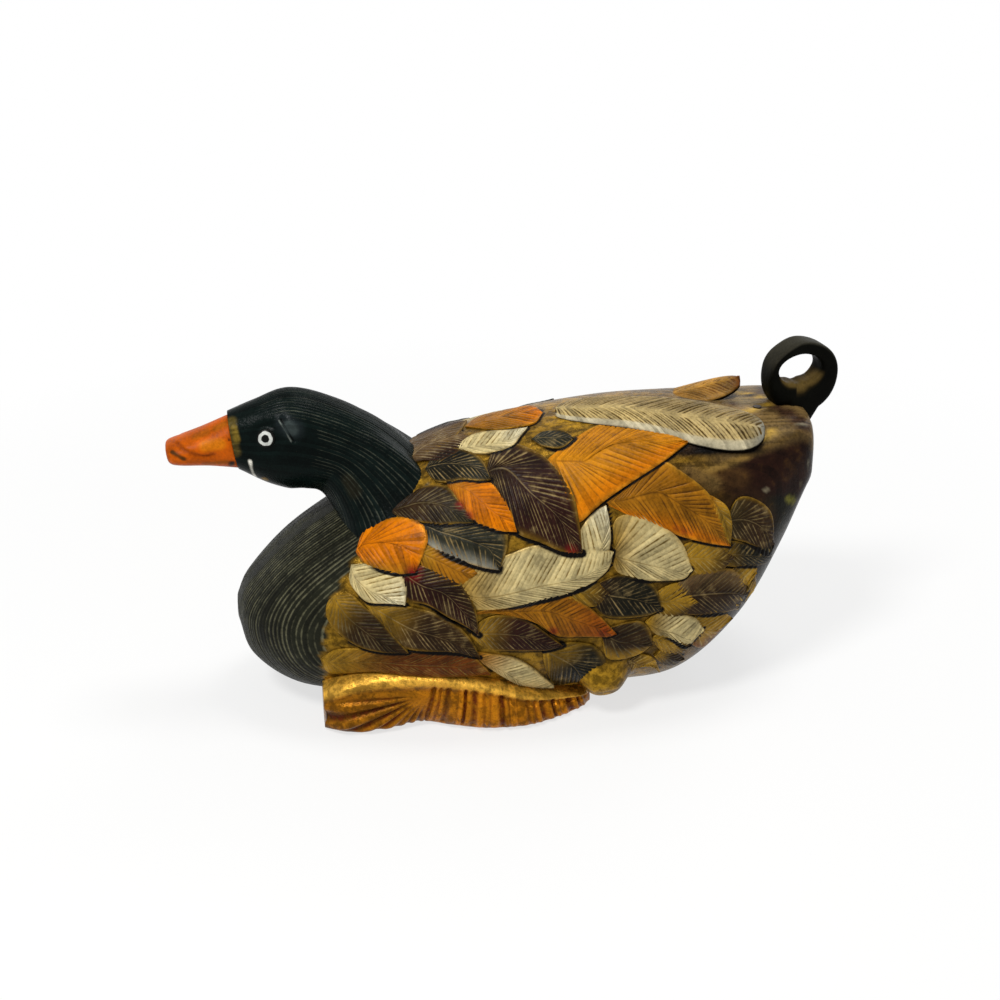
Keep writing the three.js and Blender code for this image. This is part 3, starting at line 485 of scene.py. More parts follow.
moved = add_node(comb_tree, "GeometryNodeSetPosition", {"Geometry": kept.outputs[0], "Offset": shift})
finish_tree(comb_tree, moved.outputs[0], given["Paint"])


def carve(piece, paint, depth, width, seed):
    apply_tree(piece, comb_tree, comb_sockets, {
        "Depth": depth * MM, "Width": width, "Seed": seed, "Paint": paint})


side_rows = BODY_SIDE * OUTERMOST_SLICE * np.sin(SLICE_TURNS)
comb_rows = BREAST_ROWS * int(side_rows[0] / COMB_SPACING)
middle_rows = np.arange(-comb_rows, comb_rows + 1) * COMB_SPACING / BREAST_ROWS
slice_rows = np.concatenate([-side_rows[::-1], middle_rows, side_rows])
slice_angles = np.arange(SLICE_POINTS) / SLICE_POINTS * 2 * math.pi
skin_points = []
for y in slice_rows:
    wander = GROOVE_WANDER if abs(y) < side_rows[0] else 0
    for angle, drift in zip(slice_angles, wander * np.sin(5 * slice_angles + 0.3 * y)):
        start = Vector((BREAST_X + SLICE_MIDDLE[0], y + drift, SLICE_MIDDLE[1]))
        direction = Vector((math.cos(angle), 0, -math.sin(angle)))
        skin_points.append(body_tree.ray_cast(start, direction)[0])
skin_points = np.array(skin_points)
thigh = np.linalg.norm(on_left(skin_points) - cast_on(body_tree, THIGH), axis=1)
on_thigh = np.exp(-(thigh / THIGH_RADIUS) ** 4)
outward = np.column_stack([np.zeros(len(thigh)), np.sign(skin_points[:, 1]), np.full(len(thigh), -1.0)])
skin_points += (THIGH_SWELL * on_thigh)[:, None] * outward
nail = np.array(sum(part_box("tail_nail"), Vector())) / 2 / MM
from_nail = np.linalg.norm(skin_points[:, :2] - nail[:2], axis=1)
dimple = NAIL_DIMPLE * np.exp(-(from_nail / NAIL_DIMPLE_RADIUS) ** 4)
skin_points[:, 2] -= np.where(skin_points[:, 2] > nail[2], dimple, 0)

behind = skin_points[:, 0] - np.interp(skin_points[:, 2], BREAST_EDGE[:, 0], BREAST_EDGE[:, 1])
behind += BREAST_RAGGED * np.sin(0.9 * skin_points[:, 2])
on_breast = 1 - smooth_step(-BREAST_FRINGE, BREAST_FRINGE, behind)
skin_paint = blend(PAINTS["gold"], PAINTS["black"], on_breast)
on_tail = smooth_step(*TAIL_FROM, skin_points[:, 0])
tail_top = on_tail * smooth_step(*TAIL_TOP_FROM, skin_points[:, 2])
under_tail = on_tail * (1 - smooth_step(*TAIL_UNDER_TO, skin_points[:, 2]))
to_rear = REAR_SHARE * smooth_step(*REAR_FROM, skin_points[:, 0])
for share, tail_paint in [(to_rear, "umber"), (on_tail, "wine"), (tail_top, "fawn"), (under_tail, "green")]:
    skin_paint = blend(skin_paint, PAINTS[tail_paint], share)
skin_paint = dab_paint(skin_paint, on_left(skin_points), body_tree, BODY_DABS)
# Painted shadow under the left wing tip.
skin_paint = dab_paint(skin_paint, skin_points, body_tree, LEFT_SHADOW_DABS)
body_skin = make_piece(
    "body", skin_points, loft_faces(len(slice_rows), SLICE_POINTS), skin_paint,
    blend(linear(OCHRE_COAT), linear(GREY_COAT), on_breast),
    comb=np.repeat(slice_rows, SLICE_POINTS) / COMB_SPACING,
    comb_depth=np.maximum(on_breast, THIGH_COMB * on_thigh),
    gilt=(1 - on_breast) * (1 - 0.8 * on_tail))
ground_paint = painted_wood(
    "black_and_gold_acrylic", in_grooves=0.85, on_edges=0.4, roughness=0.3, wear=0.06, gilded=True)
carve(body_skin, ground_paint, depth=0.4, width=0.3, seed=3)
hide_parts("body_upper", "body_lower")
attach(body_skin, "root")

# The small feathers: a low bed of them is carved under the belly before the large ones are cut. It is
# left in the gold base coat, which the acrylic of the large feathers lets through in its worn places.
BARB_STOPS = np.array([0, 0.05, 0.14, 0.24, 0.34, 0.44, 0.54, 0.64, 0.74, 0.83, 0.91, 0.96, 1.0])
BARB_SPACING = 1.9
BARB_ENDS = (0.01, 0.996)  # shares of the length of the first and last barb
FEATHER_ROOT_SHARE = 0.36  # thickness at the root, as a share of that at the tip
FEATHER_FOOT = -1.2  # how far the sides of a feather run into the body
QUILL_DEPTH = 0.35
QUILL_FADE = (0.15, 0.8)  # shares of the length between which the quill line is cut in full
EDGE_DROP = 0.25
BEVEL_GOLD = 0.5  # how much gold is left along the edges
WALL_WASH_AND_SHADE = 0.3  # how much dark wash and painted shade lie on the sides of a feather
COMB_OFFSET = 100  # parts the count of one feather's barbs from the next one's
BED_ROUNDING = (2.0, 1.9)  # outline at root and tip
BED_LENGTH = 17
BED_SIDE = 5.5
BED_THICKNESS = 0.9
BED_STOPS = np.array([0, 0.12, 0.8, 1.0])
BED_ROWS = 8
BED_START = 20  # behind the breast
BED_STEP = (11, 8.5)  # along the body and round it
BED_SLANT = 0.6
BED_BULGE = 0.6  # share of the length where a feather is widest
BED_SIZES = (0.85, 1.15)
BED_END = 0.6  # share of the body's length, where the tail begins
BED_SLOPE = -0.8  # the bed lies where the surface faces down more than this
BED_GAP = 2  # behind the black of the breast


def outline_width(along, bulge, width, rounding):
    toward = np.where(along < bulge, 1 - along / bulge, (along - bulge) / (1 - bulge))
    power = np.where(along < bulge, rounding[0], rounding[1])
    return width * (1 - np.clip(toward, 0, 1) ** power) ** (1 / power)


def quill_line(out, share):
    return (out == 0) * smooth_step(0, QUILL_FADE[0], share) * (1 - smooth_step(QUILL_FADE[1], 1, share))


def barb_grid(rows, thickness, slant, stops=BARB_STOPS):
    t = np.linspace(*BARB_ENDS, rows)[:, None]
    out = np.concatenate([-stops[:0:-1], stops])[None, :]
    start, end = t ** (1 + slant), 1 - (1 - t) ** (1 + slant)
    share = start + (end - start) * np.abs(out)
    quill = quill_line(out, share)
    edge = np.maximum(smooth_step(0.88, 1, np.abs(out)), smooth_step(0.985, 1, share))
    fade = np.maximum(smooth_step(0.76, 1, np.abs(out)), edge)
    rise = FEATHER_ROOT_SHARE + (1 - FEATHER_ROOT_SHARE) * share**0.85
    flat = np.ones_like(share)
    return {
        "rows": rows,
        "columns": out.size,
        "start": start * flat,
        "end": end * flat,
        "share": share,
        "out": out * flat,
        "height": thickness * rise * (1 - 0.4 * out**2) - QUILL_DEPTH * quill - EDGE_DROP * edge,
        "rim": np.maximum(0.3 * smooth_step(0.9, 1, np.abs(out)), quill),
        "comb": np.arange(rows)[:, None] / ROWS_PER_GROOVE + 0.5 * (out > 0) * flat,
        "comb_depth": smooth_step(0, 0.22, np.abs(out)) * (1 - fade),
    }


def straight_blade(grid, length, sides, rounding):
    left, right = [outline_width(grid["end"], bulge, width, rounding) for bulge, width in sides]
    return grid["share"] * length, grid["out"] * np.where(grid["out"] > 0, left, right)


def rim_loop(rows, columns):
    low = list(range(columns))
    right = [i * columns + columns - 1 for i in range(1, rows)]
    high = [(rows - 1) * columns + j for j in range(columns - 2, -1, -1)]
    left = [i * columns for i in range(rows - 2, 0, -1)]
    return low + right + high + left


def start_relief():
    values = ("comb", "comb_depth", "rim", "step", "gilt")
    return {key: [] for key in ("points", "faces", "paint", "coat", *values)}


def add_carving(relief, grid, tops, feet, colour, coat, order=0, shade_wash=0, wall=WALL_WASH_AND_SHADE):
    first, count = len(relief["points"]), len(tops)
    loop = rim_loop(grid["rows"], grid["columns"])
    under, middle = first + count, first + count + len(loop)
    relief["points"] += [*tops, *[feet[i] for i in loop], feet[count // 2]]
    relief["faces"] += [face[::-1] for face in grid_faces(grid["rows"], grid["columns"], first=first)]
    for i, here in enumerate(loop):
        j = (i + 1) % len(loop)
        relief["faces"].append((first + here, first + loop[j], under + j, under + i))
        relief["faces"].append((under + i, under + j, middle))
    rest = len(loop) + 1
    bevel = smooth_step(0.86, 1, np.abs(grid["out"]).ravel()) * BEVEL_GOLD
    # The sides are umber and take the wall's dark wash and painted shade; the top takes painted shade from
    # the feathers above it.
    relief["paint"] += [*blend(colour, PAINTS["gold"], bevel), *[PAINTS["umber"]] * rest]
    relief["gilt"] += [*bevel, *[0] * rest]
    relief["coat"] += [np.array(linear(coat))] * (count + rest)
    relief["comb"] += [*(grid["comb"].ravel() + COMB_OFFSET * order), *[0.5] * rest]
    relief["comb_depth"] += [*grid["comb_depth"].ravel(), *[0] * rest]
    relief["rim"] += [*grid["rim"].ravel(), *[0] * rest]
    relief["step"] += [*np.broadcast_to(shade_wash, count), *[wall] * rest]


leaf = start_relief()
grid = barb_grid(BED_ROWS, BED_THICKNESS, BED_SLANT, BED_STOPS)
along, across = straight_blade(grid, BED_LENGTH, [(BED_BULGE, BED_SIDE)] * 2, BED_ROUNDING)
tops = np.column_stack([along.ravel(), across.ravel(), grid["height"].ravel()])
add_carving(leaf, grid, tops, tops * (1, 1, 0) + (0, 0, FEATHER_FOOT),
            np.tile(PAINTS["gold"], (len(tops), 1)), OCHRE_COAT)
bed_leaf = make_piece("bed_leaf", **leaf)
feather_paint = painted_wood(
    "acrylic_over_gold_base_coat", in_grooves=0.85, on_edges=0.4, roughness=0.3, wear=0.3, gilded=True)
carve(bed_leaf, feather_paint, depth=0, width=0.3, seed=5)

bed_places, bed_normals = [], []
for i, along in enumerate(np.arange(BED_START, BED_END * BODY_LENGTH, BED_STEP[0])):
    ring = body_ring(find_row(BODY_LINES, along / BODY_LENGTH))
    ring = np.concatenate([ring, ring[:1]])
    round_it = np.concatenate([[0], np.cumsum(np.linalg.norm(np.diff(ring, axis=0), axis=1))])
    for reach in np.arange(i % 2 * BED_STEP[1] / 2, round_it[-1] - BED_STEP[1] / 2, BED_STEP[1]):
        point = np.array([np.interp(reach, round_it, ring[:, axis]) for axis in range(3)])
        normal = np.array(body_tree.find_nearest(Vector(point))[1])
        behind = point[0] - np.interp(point[2], BREAST_EDGE[:, 0], BREAST_EDGE[:, 1])
        if behind > BED_GAP and normal[2] < BED_SLOPE:
            bed_places.append(point)
            bed_normals.append(normal)

scatter_tree, scatter_sockets, given = start_tree("small_feathers", [
    ("Feather", "Object"), ("Least size", "Float"), ("Most size", "Float"), ("Seed", "Int"),
    ("Paint", "Material")])
facing = add_node(
    scatter_tree, "GeometryNodeInputNamedAttribute", {"Name": "facing"}, data_type="FLOAT_VECTOR").outputs[0]
turned = add_node(scatter_tree, "FunctionNodeAxesToRotation", {0: facing, 1: (1, 0, 0)},
                  primary_axis="Z", secondary_axis="X").outputs[0]
size = add_node(scatter_tree, "FunctionNodeRandomValue", {
    2: given["Least size"], 3: given["Most size"], "Seed": given["Seed"]}, data_type="FLOAT").outputs[1]
feather = add_node(scatter_tree, "GeometryNodeObjectInfo", {"Object": given["Feather"]}).outputs["Geometry"]
placed = add_node(scatter_tree, "GeometryNodeInstanceOnPoints", {
    "Points": given["Geometry"], "Instance": feather, "Rotation": turned, "Scale": size})
finish_tree(scatter_tree, placed.outputs[0], given["Paint"])

bed_mesh = bpy.data.meshes.new("small_feathers")
bed_mesh.from_pydata((np.array(bed_places) * MM).tolist(), [], [])
bed_facing = bed_mesh.attributes.new("facing", "FLOAT_VECTOR", "POINT")
bed_facing.data.foreach_set("vector", np.array(bed_normals, np.float32).ravel())
small_feathers = bpy.data.objects.new("small_feathers", bed_mesh)
scene.collection.objects.link(small_feathers)
apply_tree(small_feathers, scatter_tree, scatter_sockets, {
    "Feather": bed_leaf, "Least size": BED_SIZES[0], "Most size": BED_SIZES[1], "Seed": 4,
    "Paint": feather_paint})
bpy.data.objects.remove(bed_leaf)
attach(small_feathers, "root")

# The large feathers: carved one by one, each with a quill line and slanting barbs, standing proud at its
# tip. Every row gives the paint, an accent and where it lies, then the outline in pixels of the
# photograph: root, upper side, tip and lower side. A row lies over the rows above it.
FEATHERS = [
    ("gold", "umber", "tip", (672, 556), [(690, 544), (712, 543)], (730, 556),
     [(715, 571), (695, 573), (680, 570)]),
    ("gold", "umber", "tip", (740, 598), [(752, 590), (762, 580)], (765, 590),
     [(757, 604), (745, 613), (738, 608)]),
    ("gold", "brown", "lower", (650, 600), [(665, 588), (680, 585)], (694, 600),
     [(680, 614), (662, 614)]),
    ("gold", "umber", "tip", (652, 638), [(666, 632), (680, 636)], (688, 642), [(680, 650), (666, 652)]),
    ("gold", "umber", "tip", (545, 590), [(565, 580), (590, 580)], (606, 592), [(592, 604), (565, 600)]),
    ("ochre", "gold", "root", (418, 548), [(440, 548), (460, 556)], (474, 572),
     [(456, 584), (436, 574), (422, 562)]),
    ("gold", "umber", "root", (628, 660), [(640, 655), (652, 658)], (657, 668),
     [(650, 678), (638, 681), (630, 672)]),
    ("brown", "gold", "root", (655, 655), [(664, 648), (674, 648)], (681, 655), [(674, 662), (664, 662)]),
    ("gold", "rust", "lower", (690, 622), [(702, 612), (716, 610)], (727, 616),
     [(716, 630), (703, 643), (692, 640)]),
    ("gold", "umber", "root", (730, 572), [(742, 564), (754, 566)], (762, 578),
     [(752, 592), (740, 600), (733, 588)]),
    ("brown", "gold", "lower", (604, 634), [(615, 627), (636, 622), (646, 628)], (649, 642),
     [(637, 651), (620, 656), (608, 654)]),
    ("cream", "gold", "root", (648, 622), [(660, 613), (676, 614), (693, 618)], (699, 626),
     [(693, 635), (684, 643), (672, 637), (658, 633)]),
    ("umber", "tan", "upper", (661, 601), [(675, 588), (690, 577), (712, 571), (734, 573)], (741, 590),
     [(733, 604), (716, 610), (695, 612), (675, 609)]),
    ("green", "gold", "root", (712, 550), [(733, 542), (755, 546)], (776, 549),
     [(765, 558), (745, 564), (725, 563)]),
    ("umber", "olive", "root", (728, 522), [(738, 502), (753, 501), (768, 514)], (778, 546),
     [(765, 550), (748, 541), (733, 536)]),
    ("gold", "ochre", "root", (705, 495), [(716, 500), (726, 508), (730, 522)], (728, 541),
     [(720, 536), (715, 520)]),
    ("ochre", "orange", "lower", (612, 504),
     [(630, 491), (645, 476), (662, 466), (682, 477), (704, 495), (717, 520)], (723, 541),
     [(706, 539), (680, 533), (655, 523), (632, 514)]),
    ("green", "umber", "root", (592, 592), [(605, 582), (623, 576), (640, 579), (652, 588)], (657, 607),
     [(645, 612), (625, 615), (608, 614), (598, 605)]),
    ("cream", "gold", "root", (616, 548), [(615, 532), (622, 520), (641, 519), (660, 528), (677, 543)],
     (686, 566), [(678, 575), (655, 577), (637, 576), (622, 571), (616, 562)]),
    ("green", "gold", "root", (545, 652), [(556, 646), (575, 644), (592, 647), (601, 658), (601, 671)],
     (588, 688), [(572, 687), (558, 681), (549, 669)]),
    ("cream", "ochre", "root", (477, 652), [(493, 655), (513, 658), (527, 665), (538, 673)], (550, 686),
     [(537, 684), (522, 682), (505, 675), (492, 667), (482, 660)]),
    ("maroon", "gold", "root", (475, 634), [(483, 623), (497, 617), (513, 617), (525, 620), (537, 628)],
     (557, 643), [(543, 647), (525, 648), (508, 648), (493, 647), (483, 643)]),
    ("ochre", "russet", "tip", (475, 615),
     [(493, 610), (517, 607), (537, 600), (553, 595), (567, 596), (590, 612)], (608, 630),
     [(600, 633), (580, 633), (557, 633), (538, 622), (522, 617), (500, 613)]),
    ("rust", "gold", "root", (329, 658), [(345, 650), (380, 650), (415, 651), (447, 650), (465, 655)],
     (481, 670), [(455, 673), (405, 672), (377, 669), (350, 671), (336, 670)]),
    ("umber", "gold", "root", (371, 606), [(390, 606), (412, 609), (437, 615), (455, 626), (467, 639)],
     (474, 653), [(453, 649), (427, 648), (407, 645), (393, 634), (381, 619)]),
    ("brown", "gold", "root", (338, 598), [(352, 597), (365, 608), (378, 618), (390, 632)], (404, 648),
     [(383, 648), (362, 644), (345, 634), (332, 620), (331, 606)]),
    ("cream", "white", "tip", (566, 560), [(574, 545), (583, 528), (593, 515)], (604, 509),
     [(607, 522), (608, 543), (602, 560), (586, 565)]),
    ("cream", "gold", "root", (453, 578),
     [(468, 567), (490, 564), (511, 556), (535, 548), (560, 551), (584, 550)], (604, 553),
     [(598, 570), (576, 586), (540, 597), (500, 605), (473, 602)]),
    ("amber", "orange", "lower", (553, 462), [(567, 450), (590, 434), (612, 426), (640, 430), (662, 438)],
     (679, 446), [(655, 464), (630, 480), (605, 497), (580, 517), (572, 500), (563, 482)]),
    ("slate", "green", "tip", (534, 440), [(544, 433), (558, 431), (567, 434)], (572, 440),
     [(561, 448), (544, 446)]),
    ("maroon", "umber", "upper", (404, 573), [(418, 568), (440, 574), (458, 582), (468, 596), (473, 612)],
     (475, 630), [(463, 622), (447, 614), (430, 604), (413, 600), (404, 589)]),
    ("cream", "white", "tip", (355, 567), [(368, 566), (383, 570), (398, 573), (404, 585)], (403, 602),
     [(388, 601), (370, 600), (360, 592), (353, 581)]),
    # The grey along the lower side of this slate feather is a painted sheen.
    ("slate", "grey", "lower", (427, 527), [(445, 522), (470, 523), (500, 532), (503, 546)], (496, 567),
     [(482, 565), (465, 560), (447, 553), (432, 544)]),
    ("maroon", "umber", "root", (491, 478),
     [(497, 457), (511, 449), (532, 456), (553, 470), (568, 492), (574, 520)], (577, 547),
     [(562, 547), (540, 538), (517, 528), (508, 505), (498, 490)]),
    ("orange", "ochre", "root", (450, 484), [(465, 482), (480, 482), (492, 487), (500, 497), (507, 508)],
     (513, 529), [(495, 528), (478, 522), (468, 516), (461, 504), (453, 493)]),
    ("orange", "ochre", "lower", (361, 552),
     [(368, 533), (382, 525), (400, 521), (418, 525), (425, 538), (421, 553)], (414, 570),
     [(398, 571), (383, 568), (368, 562)]),
    ("brown", "slate", "tip", (395, 512), [(412, 498), (425, 490), (445, 490), (457, 503)], (470, 522),
     [(455, 523), (440, 524), (420, 521), (405, 517)]),
    ("ochre", "orange", "tip", (470, 427), [(483, 414), (503, 409), (528, 408)], (539, 414),
     [(532, 423), (515, 427), (493, 429)]),
    ("green", "slate", "tip", (429, 470), [(435, 460), (445, 453), (455, 451), (468, 454), (480, 463)],
     (488, 480), [(477, 481), (463, 480), (450, 482), (437, 480)]),
    ("cream", "white", "tip", (460, 448), [(468, 440), (478, 435), (491, 433), (508, 432)], (524, 430),
     [(517, 438), (511, 446), (499, 451), (485, 453), (471, 452)]),
    ("tan", "maroon", "upper", (402, 448), [(418, 437), (436, 430), (452, 425)], (464, 424),
     [(457, 434), (447, 443), (436, 448), (422, 452)]),
]
GROOVE_COATS = {
    "cream": "#77602f", "orange": "#8d4c0a", "amber": "#7d4c0c", "ochre": "#5f3a0e", "gold": "#a98d4c",
    "tan": "#94825e", "rust": "#96783c", "brown": "#655839"}
DARK_GROOVE_COAT = "#857149"
LOW_QUILLS = {"cream": 0.72, "amber": 0.4}  # where the quill runs, from the upper side to the lower
DEEP_STEPS = ("slate", "maroon")  # paints whose feathers have a black edge, with painted shade reaching further from it
DEEP_WALL_WASH_AND_SHADE = 0.9
FEATHER_THICKNESS = 2.4
FEATHER_SPREAD = 1.12  # the edges run on under the neighbours
RIDGE_THINNING = (32, 14)  # from the ridge: the feathers thin out towards it
THINNING_SHARES, WING_BED = (0.7, 0.6), (12, 20)  # how much, and how much more along where the wings lie
COVERED_FROM, COVERED_ALONG = (112, 118), (-25, -18)  # height and place of what the left side overlaps
PARED, PARED_UNDER_WING, PARED_ALONG = 0.9, 1.1, (24, 30)  # how far the right side is cut down there
BARB_SLANT, STEEPEST_SLANT = 0.8, 0.8  # how far the barbs lean to the tip, for the width of the feather
FEWEST_BARBS = 5
STACK_STEP = 0.012  # each feather lies this much above the one before
SHADE_WASH_REACH = 1.7  # how far the dark wash and painted shade run out from under the feather above
DEEP_REACH = 2.4  # the same, under the feathers with a black edge
SHADE_WASH_ABOVE = 0.3  # share of the wash and painted shade along upper edges, where the light falls from above
GAP_SHADE_REACH, GAP_SHADE_SHARE = 7.0, 0.5  # reach and share of a painted brown shade between the feathers
RED_SPREAD = 1.5
RED_DABS = [  # pixel and radius
    ((461, 507), 2.2), ((470, 516), 2.0), ((602, 629), 2.2), ((553, 629), 2.0), ((675, 527), 1.0),
    ((683, 530), 1.4), ((690, 532), 0.8), ((414, 572), 4.0), ((571, 549), 2.5),
]


def accent_share(where, grid):
    return {
        "tip": smooth_step(0.45, 0.95, grid["share"]),
        "root": 1 - smooth_step(0.05, 0.5, grid["share"]),
        "upper": smooth_step(0.1, 0.9, grid["out"]),
        "lower": smooth_step(0.3, 1.0, -grid["out"]),
    }[where].ravel()


def press_on_body(places, heights):
    base, tops, feet = [], [], []
    for point, height in zip(places, heights):
        place, normal = body_tree.find_nearest(Vector(point))[:2]
        base.append(np.array(place))
        tops.append(np.array(place + normal * height))
        feet.append(np.array(place + normal * FEATHER_FOOT))
    return base, tops, feet


def side_curve(pixels):
    places = np.array([cast_on(body_tree, pixel) for pixel in pixels])
    curve = np.array([row_at(places, u) for u in np.linspace(0, len(places) - 1, 20 * len(places))])
    reach = np.concatenate([[0], np.cumsum(np.linalg.norm(np.diff(curve, axis=0), axis=1))])
    return curve, reach / reach[-1]


def along_curve(side, shares):
    curve, reach = side
    return np.stack([np.interp(shares, reach, curve[:, axis]) for axis in range(3)], axis=-1)


def shape_feather(low_quill, root, upper, tip, lower):
    outline = np.array([root, *upper, tip, *lower])
    middle = outline.mean(axis=0)
    root, *sides = middle + FEATHER_SPREAD * (outline - middle)
    tip = sides.pop(len(upper))
    sides = (sides[:len(upper)], sides[:len(upper) - 1:-1])
    upper, lower = [side_curve([root, *side, tip]) for side in sides]
    quill_root, quill_tip = upper[0][0], upper[0][-1]
    length = np.linalg.norm(quill_tip - quill_root)
    width = np.linalg.norm(upper[0][len(upper[0]) // 2] - lower[0][len(lower[0]) // 2])
    rows = ROWS_PER_GROOVE * max(FEWEST_BARBS, round(length / BARB_SPACING)) + 1
    grid = barb_grid(rows, FEATHER_THICKNESS, min(BARB_SLANT * width / length, STEEPEST_SLANT))
    high_start, high_end = [along_curve(upper, grid[key]) for key in ("start", "end")]
    low_start, low_end = [along_curve(lower, grid[key]) for key in ("start", "end")]
    on_quill = high_start * (1 - low_quill) + low_start * low_quill
    on_rim = np.where(grid["out"][..., None] > 0, high_end, low_end)
    return grid, blend(on_quill, on_rim, np.abs(grid["out"])).reshape(-1, 3)


def shade_wash_near(places, order):
    return np.array([
        max([rims[i][2] * (1 - away / rims[i][3]) for _, i, away in rim_tree.find_range(place, DEEP_REACH)
             if rims[i][1] > order], default=0) for place in places])


plumage = start_relief()
laid = []
for order, (paint, accent, where, *outline) in enumerate(FEATHERS):
    grid, places = shape_feather(LOW_QUILLS.get(paint, 0.5), *outline)
    at_ridge = smooth_step(*RIDGE_THINNING, np.abs(places[:, 1]))
    thinning = THINNING_SHARES[0] + THINNING_SHARES[1] * smooth_step(*WING_BED, places[:, 0])
    heights = grid["height"].ravel() * (1 - at_ridge * thinning)
    base, tops, feet = press_on_body(places, heights + STACK_STEP * order)
    laid.append((paint, accent, where, grid, base, tops, feet))
# Painted shade: each feather's edge darkens what lies just below it, along with the dark wash, and less along
# upper edges, where the light falls from above.
rims = []
for order, (paint, _, _, grid, base, _, _) in enumerate(laid):
    depth = smooth_step(0.15, 0.6, grid["share"]) * np.where(grid["out"] > 0, SHADE_WASH_ABOVE, 1)
    reach = DEEP_REACH if paint in DEEP_STEPS else SHADE_WASH_REACH
    rims += [(base[i], order, depth.ravel()[i], reach) for i in rim_loop(grid["rows"], grid["columns"])]
rim_tree = KDTree(len(rims))
for i, rim in enumerate(rims):
    rim_tree.insert(rim[0], i)
rim_tree.balance()
for order, (paint, accent, where, grid, base, tops, feet) in enumerate(laid):
    colour = blend(PAINTS[paint], PAINTS[accent], accent_share(where, grid))
    coat = GROOVE_COATS.get(paint, DARK_GROOVE_COAT)
    wall = DEEP_WALL_WASH_AND_SHADE if paint in DEEP_STEPS else WALL_WASH_AND_SHADE
    add_carving(plumage, grid, tops, feet, colour, coat, order, shade_wash_near(base, order), wall)
# Painted shade on the gold skin: darker beside the feathers' edges and brown in the gaps between them.
near_side = on_left(skin_points)
skin_shade_wash = shade_wash_near(near_side, -1)
body_skin.data.attributes["step"].data.foreach_set("value", skin_shade_wash.astype(np.float32))
beside = np.array([rim_tree.find(place)[2] for place in near_side])
gap_shade = (1 - smooth_step(0.5, GAP_SHADE_REACH, beside)) * GAP_SHADE_SHARE * (1 - on_breast)
skin_paint = blend(skin_paint, PAINTS["umber"], gap_shade)
body_skin.data.color_attributes["paint"].data.foreach_set("color", skin_paint.astype(np.float32).ravel())

left_points = np.array(plumage.pop("points"))
left_faces = plumage.pop("faces")
left_paint = np.array(plumage.pop("paint"))
for pixel, radius in RED_DABS:
    near = np.linalg.norm(left_points - cast_on(body_tree, pixel), axis=1) / (radius + RED_SPREAD)
    left_paint = blend(left_paint, PAINTS["red"], np.clip(1.5 - 1.5 * near, 0, 1))

covered = smooth_step(*COVERED_FROM, left_points[:, 2]) * smooth_step(*COVERED_ALONG, left_points[:, 0])
covered *= PARED + PARED_UNDER_WING * smooth_step(*PARED_ALONG, left_points[:, 0])
right_points = (left_points - covered[:, None] * (0, 0, 1)) * (1, -1, 1)
sides = [("feathers_left", 1, left_points, 11), ("feathers_right", -1, right_points, 12)]
for name, flip, points, seed in sides:
    feathers = make_piece(name, points, [face[::flip] for face in left_faces], left_paint, **plumage)
    carve(feathers, feather_paint, depth=0.7, width=0.3, seed=seed)
    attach(feathers, "root")

# The wing tips: two long flight feathers, separate blades let into the back by a tongue, whose free ends
# curl up over the tail. The left one is cream with a grey tip and lies over the ochre right one.
WING_LENGTH = 92
WING_THICKNESS = 4
WING_LIFT = 3.5
WING_FREE_LENGTH = 41
WING_BEFORE_TAIL_END = 29
WING_SINK = 1.0  # how far the underside is let into the back
WING_ROUNDING = (3.2, 2.0)
WING_ROWS = 4 * 44 + 1
WING_SLANT = 0.3
WING_WAVE = 0.4
WING_EDGE_DROP = 0.5
WING_BULGES = (0.62, 0.66)  # shares of the length where it is widest, towards the ridge and away
WING_PLAIN_RIM = (0.74, 0.86)  # shares of the half width between which the barbs end
WING_GREY_TIP = 0.93  # share of the length where the grey tip starts
WINGS = [
    # side, offsets of root and tip from the ridge, half widths towards it and away, rises, tilt,
    # paints of blade, rim and tip, paint in the cuts, seed
    ("wing_tip_left", 1, (2, 33.5), (18, 11), (0.5, -0.8), 0, ("bone", "chalk", "grey"), "#4d3a14", 21),
    ("wing_tip_right", -1, (16, 8), (12, 13), (-5, 1.5), 3, ("buff", "buff", "rust"), "#5f3c12", 22),
]
above_back = BELLY_CLEARANCE + 1.2 * BODY_HEIGHT


def back_height(x, y):
    return body_tree.ray_cast(Vector((x, y, above_back)), Vector((0, 0, -1)))[0].z


